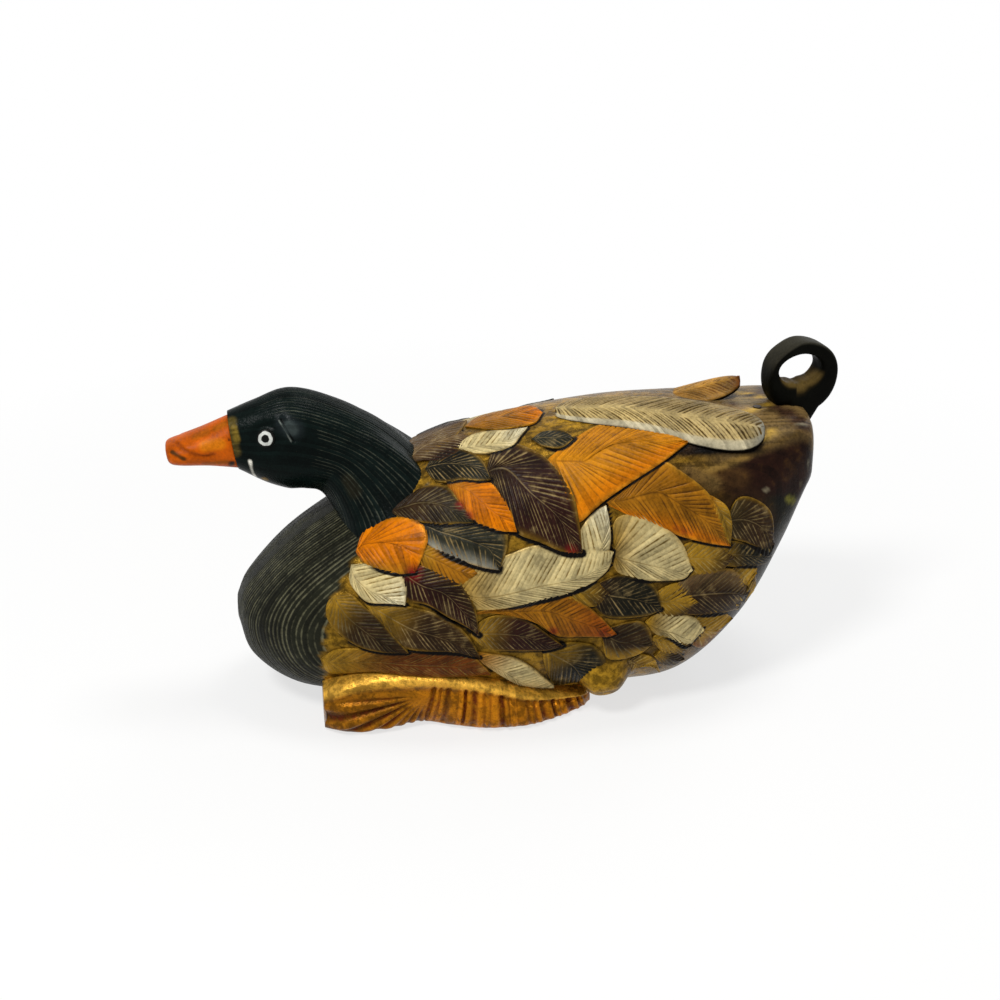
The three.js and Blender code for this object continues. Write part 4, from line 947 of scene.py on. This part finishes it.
for name, flip, (root_offset, tip_offset), (inner, outer), rises, tilt, paints, coat, seed in WINGS:
    splay = math.asin((tip_offset - root_offset) / WING_LENGTH)
    root_x = BREAST_X + BODY_LENGTH - WING_BEFORE_TAIL_END - WING_LENGTH * math.cos(splay)
    grid = barb_grid(WING_ROWS, WING_THICKNESS, WING_SLANT)
    along, across = straight_blade(grid, WING_LENGTH, zip(WING_BULGES, (inner, outer)), WING_ROUNDING)
    along, across, out, share = [values.ravel() for values in (along, across, grid["out"], grid["share"])]
    x = root_x + along * math.cos(splay) + across * math.sin(splay)
    y = -root_offset - along * math.sin(splay) + across * math.cos(splay)
    back = np.array([back_height(*place) for place in zip(x, y)])
    free = np.clip(1 - (1 - share) * WING_LENGTH / WING_FREE_LENGTH, 0, 1)
    underside = back + WING_LIFT * free**2 - WING_SINK * (1 - free)
    thickness = WING_THICKNESS * (0.6 + 0.4 * (1 - out**2)) * (0.6 + 0.4 * smooth_step(0, 0.5, share))
    wave = WING_WAVE * np.sin(9 * share + 2.5 * out) * smooth_step(0.1, 0.4, share)
    quill = quill_line(out, share)
    underside += rises[0] + (rises[1] - rises[0] - tilt * across / outer) * free
    top = underside + thickness + wave - QUILL_DEPTH * quill
    top -= WING_EDGE_DROP * smooth_step(0.9, 1, np.abs(out))
    plain_rim = smooth_step(*WING_PLAIN_RIM, -out)
    paint, rim_paint, tip_paint = [PAINTS[key] for key in paints]
    colour = blend(paint, PAINTS["tan"], 0.5 * smooth_step(-0.1, 0.4, out))
    colour = blend(colour, rim_paint, plain_rim)
    colour = blend(colour, tip_paint, smooth_step(WING_GREY_TIP, 1, share))
    count = len(top)
    loop = rim_loop(grid["rows"], grid["columns"])
    faces = grid_faces(grid["rows"], grid["columns"])
    faces += [tuple(count + i for i in reversed(face)) for face in faces]
    faces += [(b, a, count + a, count + b) for a, b in zip(loop, loop[1:] + loop[:1])]
    points = np.concatenate([np.column_stack([x, y, top]), np.column_stack([x, y, underside])])
    none = np.zeros(count)
    # The underside and sides of the blade are black under the full dark wash: black paint with painted shade
    # under the free end.
    wing_tip = make_piece(
        name + "_blade", points * (1, flip, 1), [face[::-flip] for face in faces],
        np.concatenate([colour, np.tile(PAINTS["black"], (count, 1))]), coat,
        comb=np.tile(grid["comb"].ravel(), 2),
        comb_depth=np.append(1.5 * grid["comb_depth"].ravel() * (1 - plain_rim), none),
        rim=np.append(0.5 * quill, none), step=np.append(none, none + 1))
    carve(wing_tip, feather_paint, depth=0.6, width=0.4, seed=seed)
    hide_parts(name)
    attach(wing_tip, "root")

# The head and neck: one carved block doweled to the body, with a smooth face and a neck combed from the
# cheeks down to the seam. It is painted green-black, and rubbed so that the cuts show light.
NECK_BEHIND_BREAST = 69
NECK_FOOT_HEIGHT = 86.6
NECK_FLARE = (2.5, 2.5, 11.0)  # how far the foot of the neck spreads all round, and more at back and sides
HEAD_REACH = 66.5
HEAD_RISE = 37
HEAD_DEPTH = 44
HEAD_WIDTH = 35
HEAD_LINES = np.array([  # forward, rise, tilt in degrees, depth, width
    (0.0, 0.0, 68, 0.92, 1.2),
    (0.09, 0.358, 58, 0.92, 1.086),
    (0.256, 0.715, 40, 0.91, 1.0),
    (0.451, 0.89, 20, 0.97, 1.0),
    (0.647, 0.968, 4, 1.03, 0.943),
    (0.827, 0.955, -4, 0.85, 0.8),
    (1.0, 0.977, -8, 0.6, 0.629),
])
HEAD_GROOVES = 84
HEAD_SIDES = HEAD_GROOVES * ROWS_PER_GROOVE
HEAD_RINGS = np.concatenate([np.linspace(0, 3.2, 70, endpoint=False), np.linspace(3.2, 6, 130)])
CHEEK_BULGE, CHEEK_RADIUS = 1.1, 7
SOCKET_DEPTH, SOCKET_RADIUS, SOCKET_WIDTH = 0.7, 5.8, 1.6  # a shallow ring cut round the eye
SLIT_DEPTH, SLIT_WIDTH = 0.9, 0.9
FLARE_START, FLARE_ROWS = 2.4, 1.9  # row of HEAD_LINES, and rows down to the full flare
COMB_STARTS = (4.7, 1.7, 0.6)  # row where the grooves start, and how much lower on cheek and throat
HEAD_BLACK = "#07100e"
HEAD_RUBBED = "#43463b"
CHEEK, EYE_MIDDLE, SLIT = (294, 428), (267, 439), ((282, 419), (295, 441))  # pixels
HEAD_MARKS_AND_LIGHT_DABS = [  # pixels of both ends, radius, paint; some are painted highlights and painted shade
    ((231, 422), (235, 452), 2.6, "#4a3f1c"),
    ((234, 428), (237, 440), 1.5, "#6f5c22"),
    ((229, 448), (233, 458), 2.2, "#a94a0b"),
    ((250, 461), (255, 476), 0.9, "#d5d2c6"),
    ((262, 480), (265, 479), 1.6, "#6b5218"),
    # a painted highlight on the cheek
    ((285, 424), (294, 430), 4.4, "#171d1e"),
    ((288, 426), (293, 430), 2.4, "#2e3534"),
    # the slit: a painted highlight along its edge and painted shade in it
    ((279, 421), (291, 441), 0.35, "#5f645e"),
    ((281, 419), (293, 440), 0.45, "#040605"),
    ((348, 477), (356, 486), 2.6, "#1f1e14"),
]
neck_root = np.array([BREAST_X + NECK_BEHIND_BREAST, 0, NECK_FOOT_HEIGHT])


def oval_ring(middle, tilt, depth, width, angles):
    lean = math.radians(tilt)
    crown = np.array([math.sin(lean), 0, math.cos(lean)])
    up, across = np.outer(np.cos(angles), crown), np.outer(np.sin(angles), (0, 1, 0))
    return middle + depth / 2 * up + width / 2 * across


def head_ring(u, angles):
    forward, rise, tilt, depth, width = row_at(HEAD_LINES, u)
    middle = neck_root + (-forward * HEAD_REACH, 0, rise * HEAD_RISE)
    return oval_ring(middle, tilt, depth * HEAD_DEPTH, width * HEAD_WIDTH, angles)


def ring_outward(points, sides):
    middles = points.reshape(-1, sides, 3).mean(axis=1)
    outward = points - np.repeat(middles, sides, axis=0)
    return outward / np.linalg.norm(outward, axis=1)[:, None]


head_angles = np.arange(HEAD_SIDES) / HEAD_SIDES * 2 * math.pi
head_points = np.concatenate([head_ring(u, head_angles) for u in HEAD_RINGS])
head_faces = loft_faces(len(HEAD_RINGS), HEAD_SIDES)
head_tree = BVHTree.FromPolygons(head_points.tolist(), head_faces)
rings_u = np.repeat(HEAD_RINGS, HEAD_SIDES)
round_it = np.tile(head_angles, len(HEAD_RINGS))
from_crown = np.minimum(round_it, 2 * math.pi - round_it)
near_side = on_left(head_points)
cheek = np.linalg.norm(near_side - cast_on(head_tree, CHEEK), axis=1)
from_eye = np.linalg.norm(near_side - cast_on(head_tree, EYE_MIDDLE), axis=1)
slit = distance_to(near_side, *[cast_on(head_tree, pixel) for pixel in SLIT])
shape = CHEEK_BULGE * np.exp(-(cheek / CHEEK_RADIUS) ** 2)
shape -= SOCKET_DEPTH * np.exp(-((from_eye - SOCKET_RADIUS) / SOCKET_WIDTH) ** 2)
shape -= SLIT_DEPTH * np.exp(-(slit / SLIT_WIDTH) ** 2)
rearward = np.clip(np.cos(round_it), 0, 1) ** 2
sideward = smooth_step(0.35, 0.85, from_crown) * (1 - smooth_step(1.9, 2.9, from_crown))
flare = np.column_stack([np.ones_like(rearward), rearward, sideward]) @ NECK_FLARE
shape += np.clip((FLARE_START - rings_u) / FLARE_ROWS, 0, 1) ** 1.2 * flare
head_points = head_points + shape[:, None] * ring_outward(head_points, HEAD_SIDES)
comb_start = COMB_STARTS[0] - COMB_STARTS[1] * smooth_step(0.5, 1.2, from_crown)
comb_start -= COMB_STARTS[2] * smooth_step(1.6, 2.6, from_crown)
head_comb = (1 - smooth_step(0, 0.5, rings_u - comb_start)) * (1 - 0.9 * smooth_step(2.4, 2.9, from_crown))
head_colour = np.tile(linear(HEAD_BLACK), (len(head_points), 1))
# The dabs paint marks, a painted highlight on the cheek and painted light and shade at the slit.
head_colour = dab_paint(head_colour, near_side, head_tree, HEAD_MARKS_AND_LIGHT_DABS)
head = make_piece(
    "head_and_neck", head_points, head_faces, head_colour, HEAD_RUBBED,
    comb=round_it / (2 * math.pi) * HEAD_GROOVES, comb_depth=head_comb)
head_paint = painted_wood("green_black_acrylic", in_grooves=0.6, on_edges=0.5, roughness=0.24, specular=0.04)
carve(head, head_paint, depth=0.32, width=0.25, seed=31)
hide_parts("head")
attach(head, "root")

# The bill: a tapered block tenoned into the head, rounded at the tip, with a short smile cut along each
# side. It is painted orange, thin and brown along its edges, with painted shade along the smile cut.
BILL_LENGTH = 28.6
BILL_DEPTH = 24
BILL_WIDTH = 21
BILL_DROP = 3.5
BILL_RISE = 35.6  # middle of its base above the foot of the neck
BILL_LINES = np.array([  # forward, drop, tilt in degrees, depth, width
    (0.0, 0.0, -8, 1.0, 1.0),
    (0.42, 0.43, -9, 0.71, 1.0),
    (0.8, 0.86, -10, 0.5, 1.0),
    (0.97, 1.0, -10, 0.38, 0.76),
    (1.0, 1.0, -10, 0.13, 0.29),
])
BILL_RINGS = np.concatenate([np.linspace(0, 3, 70, endpoint=False), np.linspace(3, 4, 24)])
BILL_SIDES = 96
BILL_ORANGE = "#b25004"
BILL_BROWN = "#552407"
BILL_TIP_ROWS = (3.2, 3.9)  # rows of BILL_LINES over which the tip turns brown
BILL_UNDER_ANGLES = (2.0, 2.7)  # from the crown, over which the underside does
BILL_BROWN_AND_SHADE = 0.6
SMILE_DEPTH, SMILE_WIDTH, SMILE_SHADE = 0.8, 0.7, 0.9
SMILE = [(177, 443), (184, 450), (194, 455), (205, 457), (214, 455)]  # pixels
BILL_DABS = [  # pixels of both ends, radius, paint
    ((181, 432), (185, 433), 1.0, "#7a3208"),
    ((196, 436), (206, 432), 2.2, "#a35208"),
    ((205, 446), (220, 444), 2.6, "#c06a0c"),
    ((172, 452), (184, 459), 1.0, "#4a2a0a"),
    ((206, 464), (226, 462), 1.6, "#8f4706"),
    ((216, 428), (224, 424), 1.8, "#a5560a"),
    ((226, 467), (232, 463), 1.6, "#2a1a0c"),
    ((228, 418), (229, 440), 0.5, "#4a2208"),
]
bill_base = neck_root + (-HEAD_REACH, 0, BILL_RISE)
bill_angles = np.arange(BILL_SIDES) / BILL_SIDES * 2 * math.pi


def bill_ring(u):
    forward, drop, tilt, depth, width = row_at(BILL_LINES, u)
    middle = bill_base + (-forward * BILL_LENGTH, 0, -drop * BILL_DROP)
    return oval_ring(middle, tilt, depth * BILL_DEPTH, width * BILL_WIDTH, bill_angles)


bill_points = np.concatenate([bill_ring(u) for u in BILL_RINGS])
bill_faces = loft_faces(len(BILL_RINGS), BILL_SIDES)
bill_tree = BVHTree.FromPolygons(bill_points.tolist(), bill_faces)
near_side = on_left(bill_points)
smile_places = [cast_on(bill_tree, pixel) for pixel in SMILE]
smile = np.min([distance_to(near_side, a, b) for a, b in zip(smile_places, smile_places[1:])], axis=0)
smile_cut = SMILE_DEPTH * np.exp(-(smile / SMILE_WIDTH) ** 2)
bill_points = bill_points - smile_cut[:, None] * ring_outward(bill_points, BILL_SIDES)
at_tip = smooth_step(*BILL_TIP_ROWS, np.repeat(BILL_RINGS, BILL_SIDES))
from_crown = math.pi - np.abs(np.tile(bill_angles, len(BILL_RINGS)) - math.pi)
underneath = smooth_step(*BILL_UNDER_ANGLES, from_crown)
# Brown at the tip and darker along the underside; the darkening along the smile cut is painted shade.
edges = np.max([at_tip, 0.7 * underneath, 0.8 * np.exp(-(smile / SMILE_SHADE) ** 2)], axis=0)
bill_colour = blend(linear(BILL_ORANGE), linear(BILL_BROWN), BILL_BROWN_AND_SHADE * edges)
bill_colour = dab_paint(bill_colour, near_side, bill_tree, BILL_DABS)
bill = make_piece("orange_bill", bill_points, bill_faces, bill_colour, BILL_BROWN)
bill_paint = painted_wood("orange_acrylic", in_grooves=0.5, on_edges=0.5, roughness=0.36)
carve(bill, bill_paint, depth=0.1, width=0.4, seed=41)
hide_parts("bill")
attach(bill, "root")

# The eyes: turned wooden studs pushed into the cheeks, domed, with a white ring round a black pupil in
# gloss enamel.
EYE_DIAMETER = 8
EYE_CROWN = 1.6
EYE_RIM = 0.6
EYE_SINK = 1.2
EYE_ANGLE = math.radians(72)
EYE_BEHIND_BILL = 14.5
EYE_RINGS = 40
EYE_SIDES = 64
EYE_WHITE = "#bcbeb8"
EYE_BLACK = "#0e0f0d"
PUPIL_SHARE = 0.43
RING_SHARE = 0.78
RING_BLUR = 0.03
eye_row = find_row(HEAD_LINES, 1 - EYE_BEHIND_BILL / HEAD_REACH)
eye_enamel = painted_wood("gloss_enamel", in_grooves=0.0, on_edges=0.0, roughness=0.2)
turn = np.arange(EYE_SIDES) / EYE_SIDES * 2 * math.pi
ragged = 1 + 0.03 * np.sin(3 * turn + 1) + 0.02 * np.sin(7 * turn)
radii = np.append(np.linspace(0.02, 1, EYE_RINGS), 1)
heights = EYE_RIM + (EYE_CROWN - EYE_RIM) * np.sqrt(1 - radii**2)
heights[-1] = -EYE_SINK
for name, side in [("eye_left", -1), ("eye_right", 1)]:
    angle = np.array([side * EYE_ANGLE])
    middle = head_ring(eye_row, angle)[0]
    along = head_ring(eye_row + 0.01, angle)[0] - middle
    across = head_ring(eye_row, angle + 0.01)[0] - middle
    outward = np.cross(across, along)
    outward /= np.linalg.norm(outward)
    along /= np.linalg.norm(along)
    upward = np.cross(outward, along)
    points, colours = [], []
    for radius, height in zip(radii, heights):
        reach = radius * EYE_DIAMETER / 2
        spoke = np.outer(np.cos(turn), along) + np.outer(np.sin(turn), upward)
        points.append(middle + outward * height + reach * spoke)
        ring = smooth_step(-RING_BLUR, RING_BLUR, radius - PUPIL_SHARE * ragged)
        ring = ring * (1 - smooth_step(-RING_BLUR, RING_BLUR, radius - RING_SHARE * ragged))
        colours.append(blend(linear(EYE_BLACK), linear(EYE_WHITE), ring))
    faces = [face[::-1] for face in loft_faces(len(radii), EYE_SIDES)]
    eye = make_piece(name + "_stud", np.concatenate(points), faces, np.concatenate(colours), EYE_WHITE)
    carve(eye, eye_enamel, depth=0.1, width=0.4, seed=51)
    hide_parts(name)
    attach(eye, "root")

# The tail curl: a strip bent into a loop and let into the tail by a tang, with eased edges. Its dark
# paint is worn to the wood where the loop is handled, inside and underneath, and its outer face is
# painted lighter towards the top as a painted highlight.
CURL_RADIUS = 17
CURL_WIDTH = 12
CURL_HOLE = (10.6, 6.7)  # half length and half height
CURL_CROWN_WALL = 5.8
CURL_FRONT_WALL = 4.3
CURL_ROUND_DIP = (math.radians(60), math.radians(42))  # behind and in front
CURL_ROOT_HALF = 6.5
CURL_ROOT_DEPTH = 12
CURL_TURN = math.radians(10)
CURL_BEFORE_TAIL_END = 4.3
CURL_STEPS = 160
CURL_SECTION = 48
CURL_SQUARENESS = 5
CURL_START = 0.37  # of a step, so that no direction runs along a straight side of the outline
CURL_UNEVEN_HOLE, CURL_UNEVEN_RIM, CURL_UNEVEN_WIDTH = 0.25, 0.2, 0.03  # the last is a share
CURL_BLACK, CURL_LIT_GREY, CURL_BARE, CURL_COAT = "#090906", "#2b2921", "#5c4a26", "#4a3e26"
curl_x = BREAST_X + BODY_LENGTH - CURL_BEFORE_TAIL_END
curl_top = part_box("tail_curl")[1].z / MM
curl_middle = np.array([0, curl_top - CURL_RADIUS])
hole = np.array([CURL_FRONT_WALL + CURL_HOLE[0] - CURL_RADIUS, curl_top - CURL_CROWN_WALL - CURL_HOLE[1]])
tail_z = back_height(curl_x - CURL_ROOT_HALF, 0)
arc = np.linspace(-CURL_ROUND_DIP[0], math.pi + CURL_ROUND_DIP[1], CURL_STEPS)
curl_outline = np.concatenate([
    curl_middle + CURL_RADIUS * np.column_stack([np.cos(arc), np.sin(arc)]),
    [(-CURL_ROOT_HALF, tail_z), (-CURL_ROOT_HALF, tail_z - CURL_ROOT_DEPTH),
     (CURL_ROOT_HALF / 2, tail_z - CURL_ROOT_DEPTH)]])


def reach_of(outline, middle, direction):
    start, edge = outline - middle, np.roll(outline, -1, axis=0) - outline
    across = direction[0] * edge[:, 1] - direction[1] * edge[:, 0]
    distance = (start[:, 0] * edge[:, 1] - start[:, 1] * edge[:, 0]) / across
    share = (start[:, 0] * direction[1] - start[:, 1] * direction[0]) / across
    return distance[(share >= 0) & (share < 1)].max()


def eased_section(count, squareness):
    turn = np.arange(count) / count * 2 * math.pi
    across, up = np.cos(turn), np.sin(turn)
    reach = (np.abs(across) ** squareness + np.abs(up) ** squareness) ** (-1 / squareness)
    return 0.5 + 0.5 * reach * across, reach * up


outness, sideness = eased_section(CURL_SECTION, CURL_SQUARENESS)
points, colours = [], []
for turn in (np.arange(CURL_STEPS) + CURL_START) / CURL_STEPS * 2 * math.pi:
    direction = np.array([math.cos(turn), math.sin(turn)])
    far = reach_of(curl_outline, hole, direction)
    near = 1 / np.hypot(*(direction / CURL_HOLE))
    near += CURL_UNEVEN_HOLE * math.sin(7 * turn) * max(0, -math.sin(turn))
    reach = near + outness * (far - near) + CURL_UNEVEN_RIM * math.sin(5 * turn) * outness
    place = hole + reach[:, None] * direction
    side = CURL_WIDTH / 2 * sideness * (1 + CURL_UNEVEN_WIDTH * math.sin(3 * turn + 1))
    x = curl_x + place[:, 0] * math.cos(CURL_TURN) - side * math.sin(CURL_TURN)
    y = place[:, 0] * math.sin(CURL_TURN) + side * math.cos(CURL_TURN)
    points.append(np.column_stack([x, y, place[:, 1]]))
    inside = (1 - smooth_step(0.05, 0.25, outness)) * smooth_step(0.1, 0.5, -math.sin(turn))
    # Painted highlight: the outer face turns grey towards the top of the loop.
    lit_outside = smooth_step(0.8, 0.95, outness) * smooth_step(-0.2, 0.5, math.sin(turn))
    colour = blend(linear(CURL_BLACK), linear(CURL_LIT_GREY), lit_outside)
    colours.append(blend(colour, linear(CURL_BARE), inside))
rows = grid_faces(CURL_STEPS, CURL_SECTION, wrap=True)
last = (CURL_STEPS - 1) * CURL_SECTION
rows += [(last + j, last + (j + 1) % CURL_SECTION, (j + 1) % CURL_SECTION, j) for j in range(CURL_SECTION)]
curl = make_piece("tail_curl_loop", np.concatenate(points), rows, np.concatenate(colours), CURL_COAT)
curl_paint = painted_wood("worn_black_acrylic", in_grooves=0.5, on_edges=0.5, roughness=0.42, specular=0.02)
carve(curl, curl_paint, depth=0.1, width=0.4, seed=61)
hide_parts("tail_curl")
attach(curl, "root")

# The feet: two solid flippers screwed on under the belly, with a rolled upper edge, ribs cut down the
# side and toes fanned out at the front. They are painted gold, with red-brown in the cuts, and the
# rolled upper edge is brighter gold as a painted highlight.
FOOT_LENGTH = 118
FOOT_HEIGHT = 30.5
FOOT_DEPTH = 38
FOOT_BEHIND_BREAST = 37
FOOT_SWELL = 1.5
FOOT_FLARE = 4.5  # how far the sole spreads outward
TOE_REACH = 2.0
FOOT_LINES = np.array([  # back, height, lower and upper inset in millimetres
    (0.0, 0.66, 15, 13.5),
    (0.04, 0.78, 13, 12),
    (0.12, 0.93, 11.5, 10.5),
    (0.23, 1.0, 13, 8.5),
    (0.36, 0.98, 18, 6),
    (0.46, 0.95, 13, 5),
    (0.59, 0.85, 7.5, 4),
    (0.74, 0.6, 8, 6),
    (0.86, 0.42, 14, 12.5),
    (0.96, 0.33, 22, 17),
    (1.0, 0.24, 28, 25),
])
FOOT_STATIONS = 260
FOOT_SECTION = 180
FOOT_SQUARENESS = 5
RIB_SPACING = 4.2
TOE_SPREAD = math.radians(13)
TOE_ROOT = 0.6  # share of the foot's height
TOES_END = 0.37  # share of the foot's length where the ribs take over
TOE_COUNT = 40  # parts the count of the toes from that of the ribs
RIB_LEAN = (0.55, 0.9)  # slope of the ribs at the toes, and how much less it is at the heel
RIB_UNEVEN = 0.2
FOOT_ROLL, FOOT_HOLLOW = (1.3, 0.88, 0.1), (0.9, 0.7, 0.07)  # how far out or in, level and width
FOOT_GOLD, FOOT_RIDGE_HIGHLIGHT, FOOT_TOE, FOOT_CUTS = "#a4660e", "#d3a03c", "#8e5a0e", "#4f2207"
FOOT_GILT = 0.8
outness, rise = eased_section(FOOT_SECTION, FOOT_SQUARENESS)
level = 0.5 + 0.5 * rise
roll, hollow = [
    reach * np.exp(-((level - middle) / width) ** 2) for reach, middle, width in (FOOT_ROLL, FOOT_HOLLOW)]
bulge = FOOT_SWELL * np.sin(math.pi * level) + FOOT_FLARE * (1 - level) + (roll - hollow)
outer_side = smooth_step(0.8, 0.97, outness)
points, colours, combs, depths = [], [], [], []
for share in np.linspace(0, 1, FOOT_STATIONS):
    _, height, lower, upper = row_at(FOOT_LINES, find_row(FOOT_LINES, share))
    x = BREAST_X + FOOT_BEHIND_BREAST + share * (FOOT_LENGTH + TOE_REACH) - TOE_REACH
    z = level * height * FOOT_HEIGHT
    inner = FOOT_DEPTH - BODY_SIDE
    outer = lower + (upper - lower) * level - BODY_SIDE - bulge * smooth_step(-0.02, 0.08, share)
    points.append(np.column_stack([np.full(FOOT_SECTION, x), inner + outness * (outer - inner), z]))
    lean = RIB_LEAN[0] - RIB_LEAN[1] * share
    ribs = (share * FOOT_LENGTH - lean * z) / RIB_SPACING
    ribs += RIB_UNEVEN * np.sin(2.3 * ribs)
    down, ahead = TOE_ROOT * FOOT_HEIGHT - z, (TOES_END - share) * FOOT_LENGTH
    toes = np.arctan2(down, ahead) / TOE_SPREAD + TOE_COUNT
    ribbed = smooth_step(0.03, 0.12, level) * (1 - smooth_step(0.72, 0.84, level))
    fanned = smooth_step(5, 12, np.hypot(down, ahead)) * (1 - smooth_step(0.6, 0.75, level))
    combs.append(ribs if share > TOES_END else toes)
    depths.append(outer_side * (ribbed if share > TOES_END else fanned))
    colour = blend(linear(FOOT_GOLD), linear(FOOT_TOE), smooth_step(TOES_END + 0.05, TOES_END - 0.1, share))
    # Painted highlight: the rolled upper edge turns brighter gold.
    colours.append(blend(colour, linear(FOOT_RIDGE_HIGHLIGHT), smooth_step(0.72, 0.9, level)))
points, faces = np.concatenate(points), loft_faces(FOOT_STATIONS, FOOT_SECTION)
gold_paint = painted_wood(
    "gold_paint", in_grooves=0.75, on_edges=0.5, roughness=0.3, wear=0.5, gilded=True)
for name, flip, seed in [("foot_left", 1, 71), ("foot_right", -1, 72)]:
    foot = make_piece(
        name + "_flipper", points * (1, flip, 1), [face[::-flip] for face in faces],
        np.concatenate(colours), FOOT_CUTS, comb=np.concatenate(combs), comb_depth=np.concatenate(depths),
        gilt=FOOT_GILT)
    carve(foot, gold_paint, depth=1.7, width=0.42, seed=seed)
    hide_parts(name)
    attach(foot, "root")

# Inside and underneath: the nail in the tail, the foot screws and the dowels. The nail and screws are
# plain steel gone dull, and the dowels are turned beech left bare.
STEEL_COLOURS = ("#433b32", "#2c1f16")
STEEL_GRAIN = (0.8, 0.8, 0.8)
BEECH_COLOURS = ("#c79f6a", "#a57a46")
BEECH_GRAIN = (0.9, 0.9, 12)  # the fibres run along the dowel


def plain_finish(name, colours, grain_size, metallic, roughness):
    material, tree = start_material(name)
    place = add_node(tree, "ShaderNodeTexCoord").outputs["Object"]
    stretch = [1 / (size * MM) for size in grain_size]
    scaled = add_node(tree, "ShaderNodeMapping", {"Vector": place, "Scale": stretch}).outputs[0]
    grain = add_node(tree, "ShaderNodeTexNoise", {"Vector": scaled, "Scale": 1.0, "Detail": 4.0}).outputs[0]
    colour = add_node(tree, "ShaderNodeMix", {
        0: grain, 6: linear(colours[0]), 7: linear(colours[1])}, data_type="RGBA").outputs[2]
    gloss = add_node(tree, "ShaderNodeMapRange", {
        "Value": grain, 3: roughness - 0.1, 4: roughness + 0.15}).outputs[0]
    relief = add_node(tree, "ShaderNodeBump", {"Strength": 0.3, "Distance": 0.1 * MM, "Height": grain})
    shader = add_node(tree, "ShaderNodeBsdfPrincipled", {
        "Base Color": colour, "Roughness": gloss, "Metallic": metallic, "Normal": relief.outputs[0]})
    add_node(tree, "ShaderNodeOutputMaterial", {"Surface": shader.outputs[0]})
    return material


steel = plain_finish("dull_steel", STEEL_COLOURS, STEEL_GRAIN, metallic=0.8, roughness=0.45)
beech = plain_finish("bare_beech", BEECH_COLOURS, BEECH_GRAIN, metallic=0.0, roughness=0.6)
for name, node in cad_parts.items():
    if name == "tail_nail" or "screw" in name:
        node.material_slots[0].material = steel
    elif "dowel" in name:
        node.material_slots[0].material = beech

size = {"cad": [list(corner) for corner in cad_box], "visual": [list(corner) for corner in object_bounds()]}
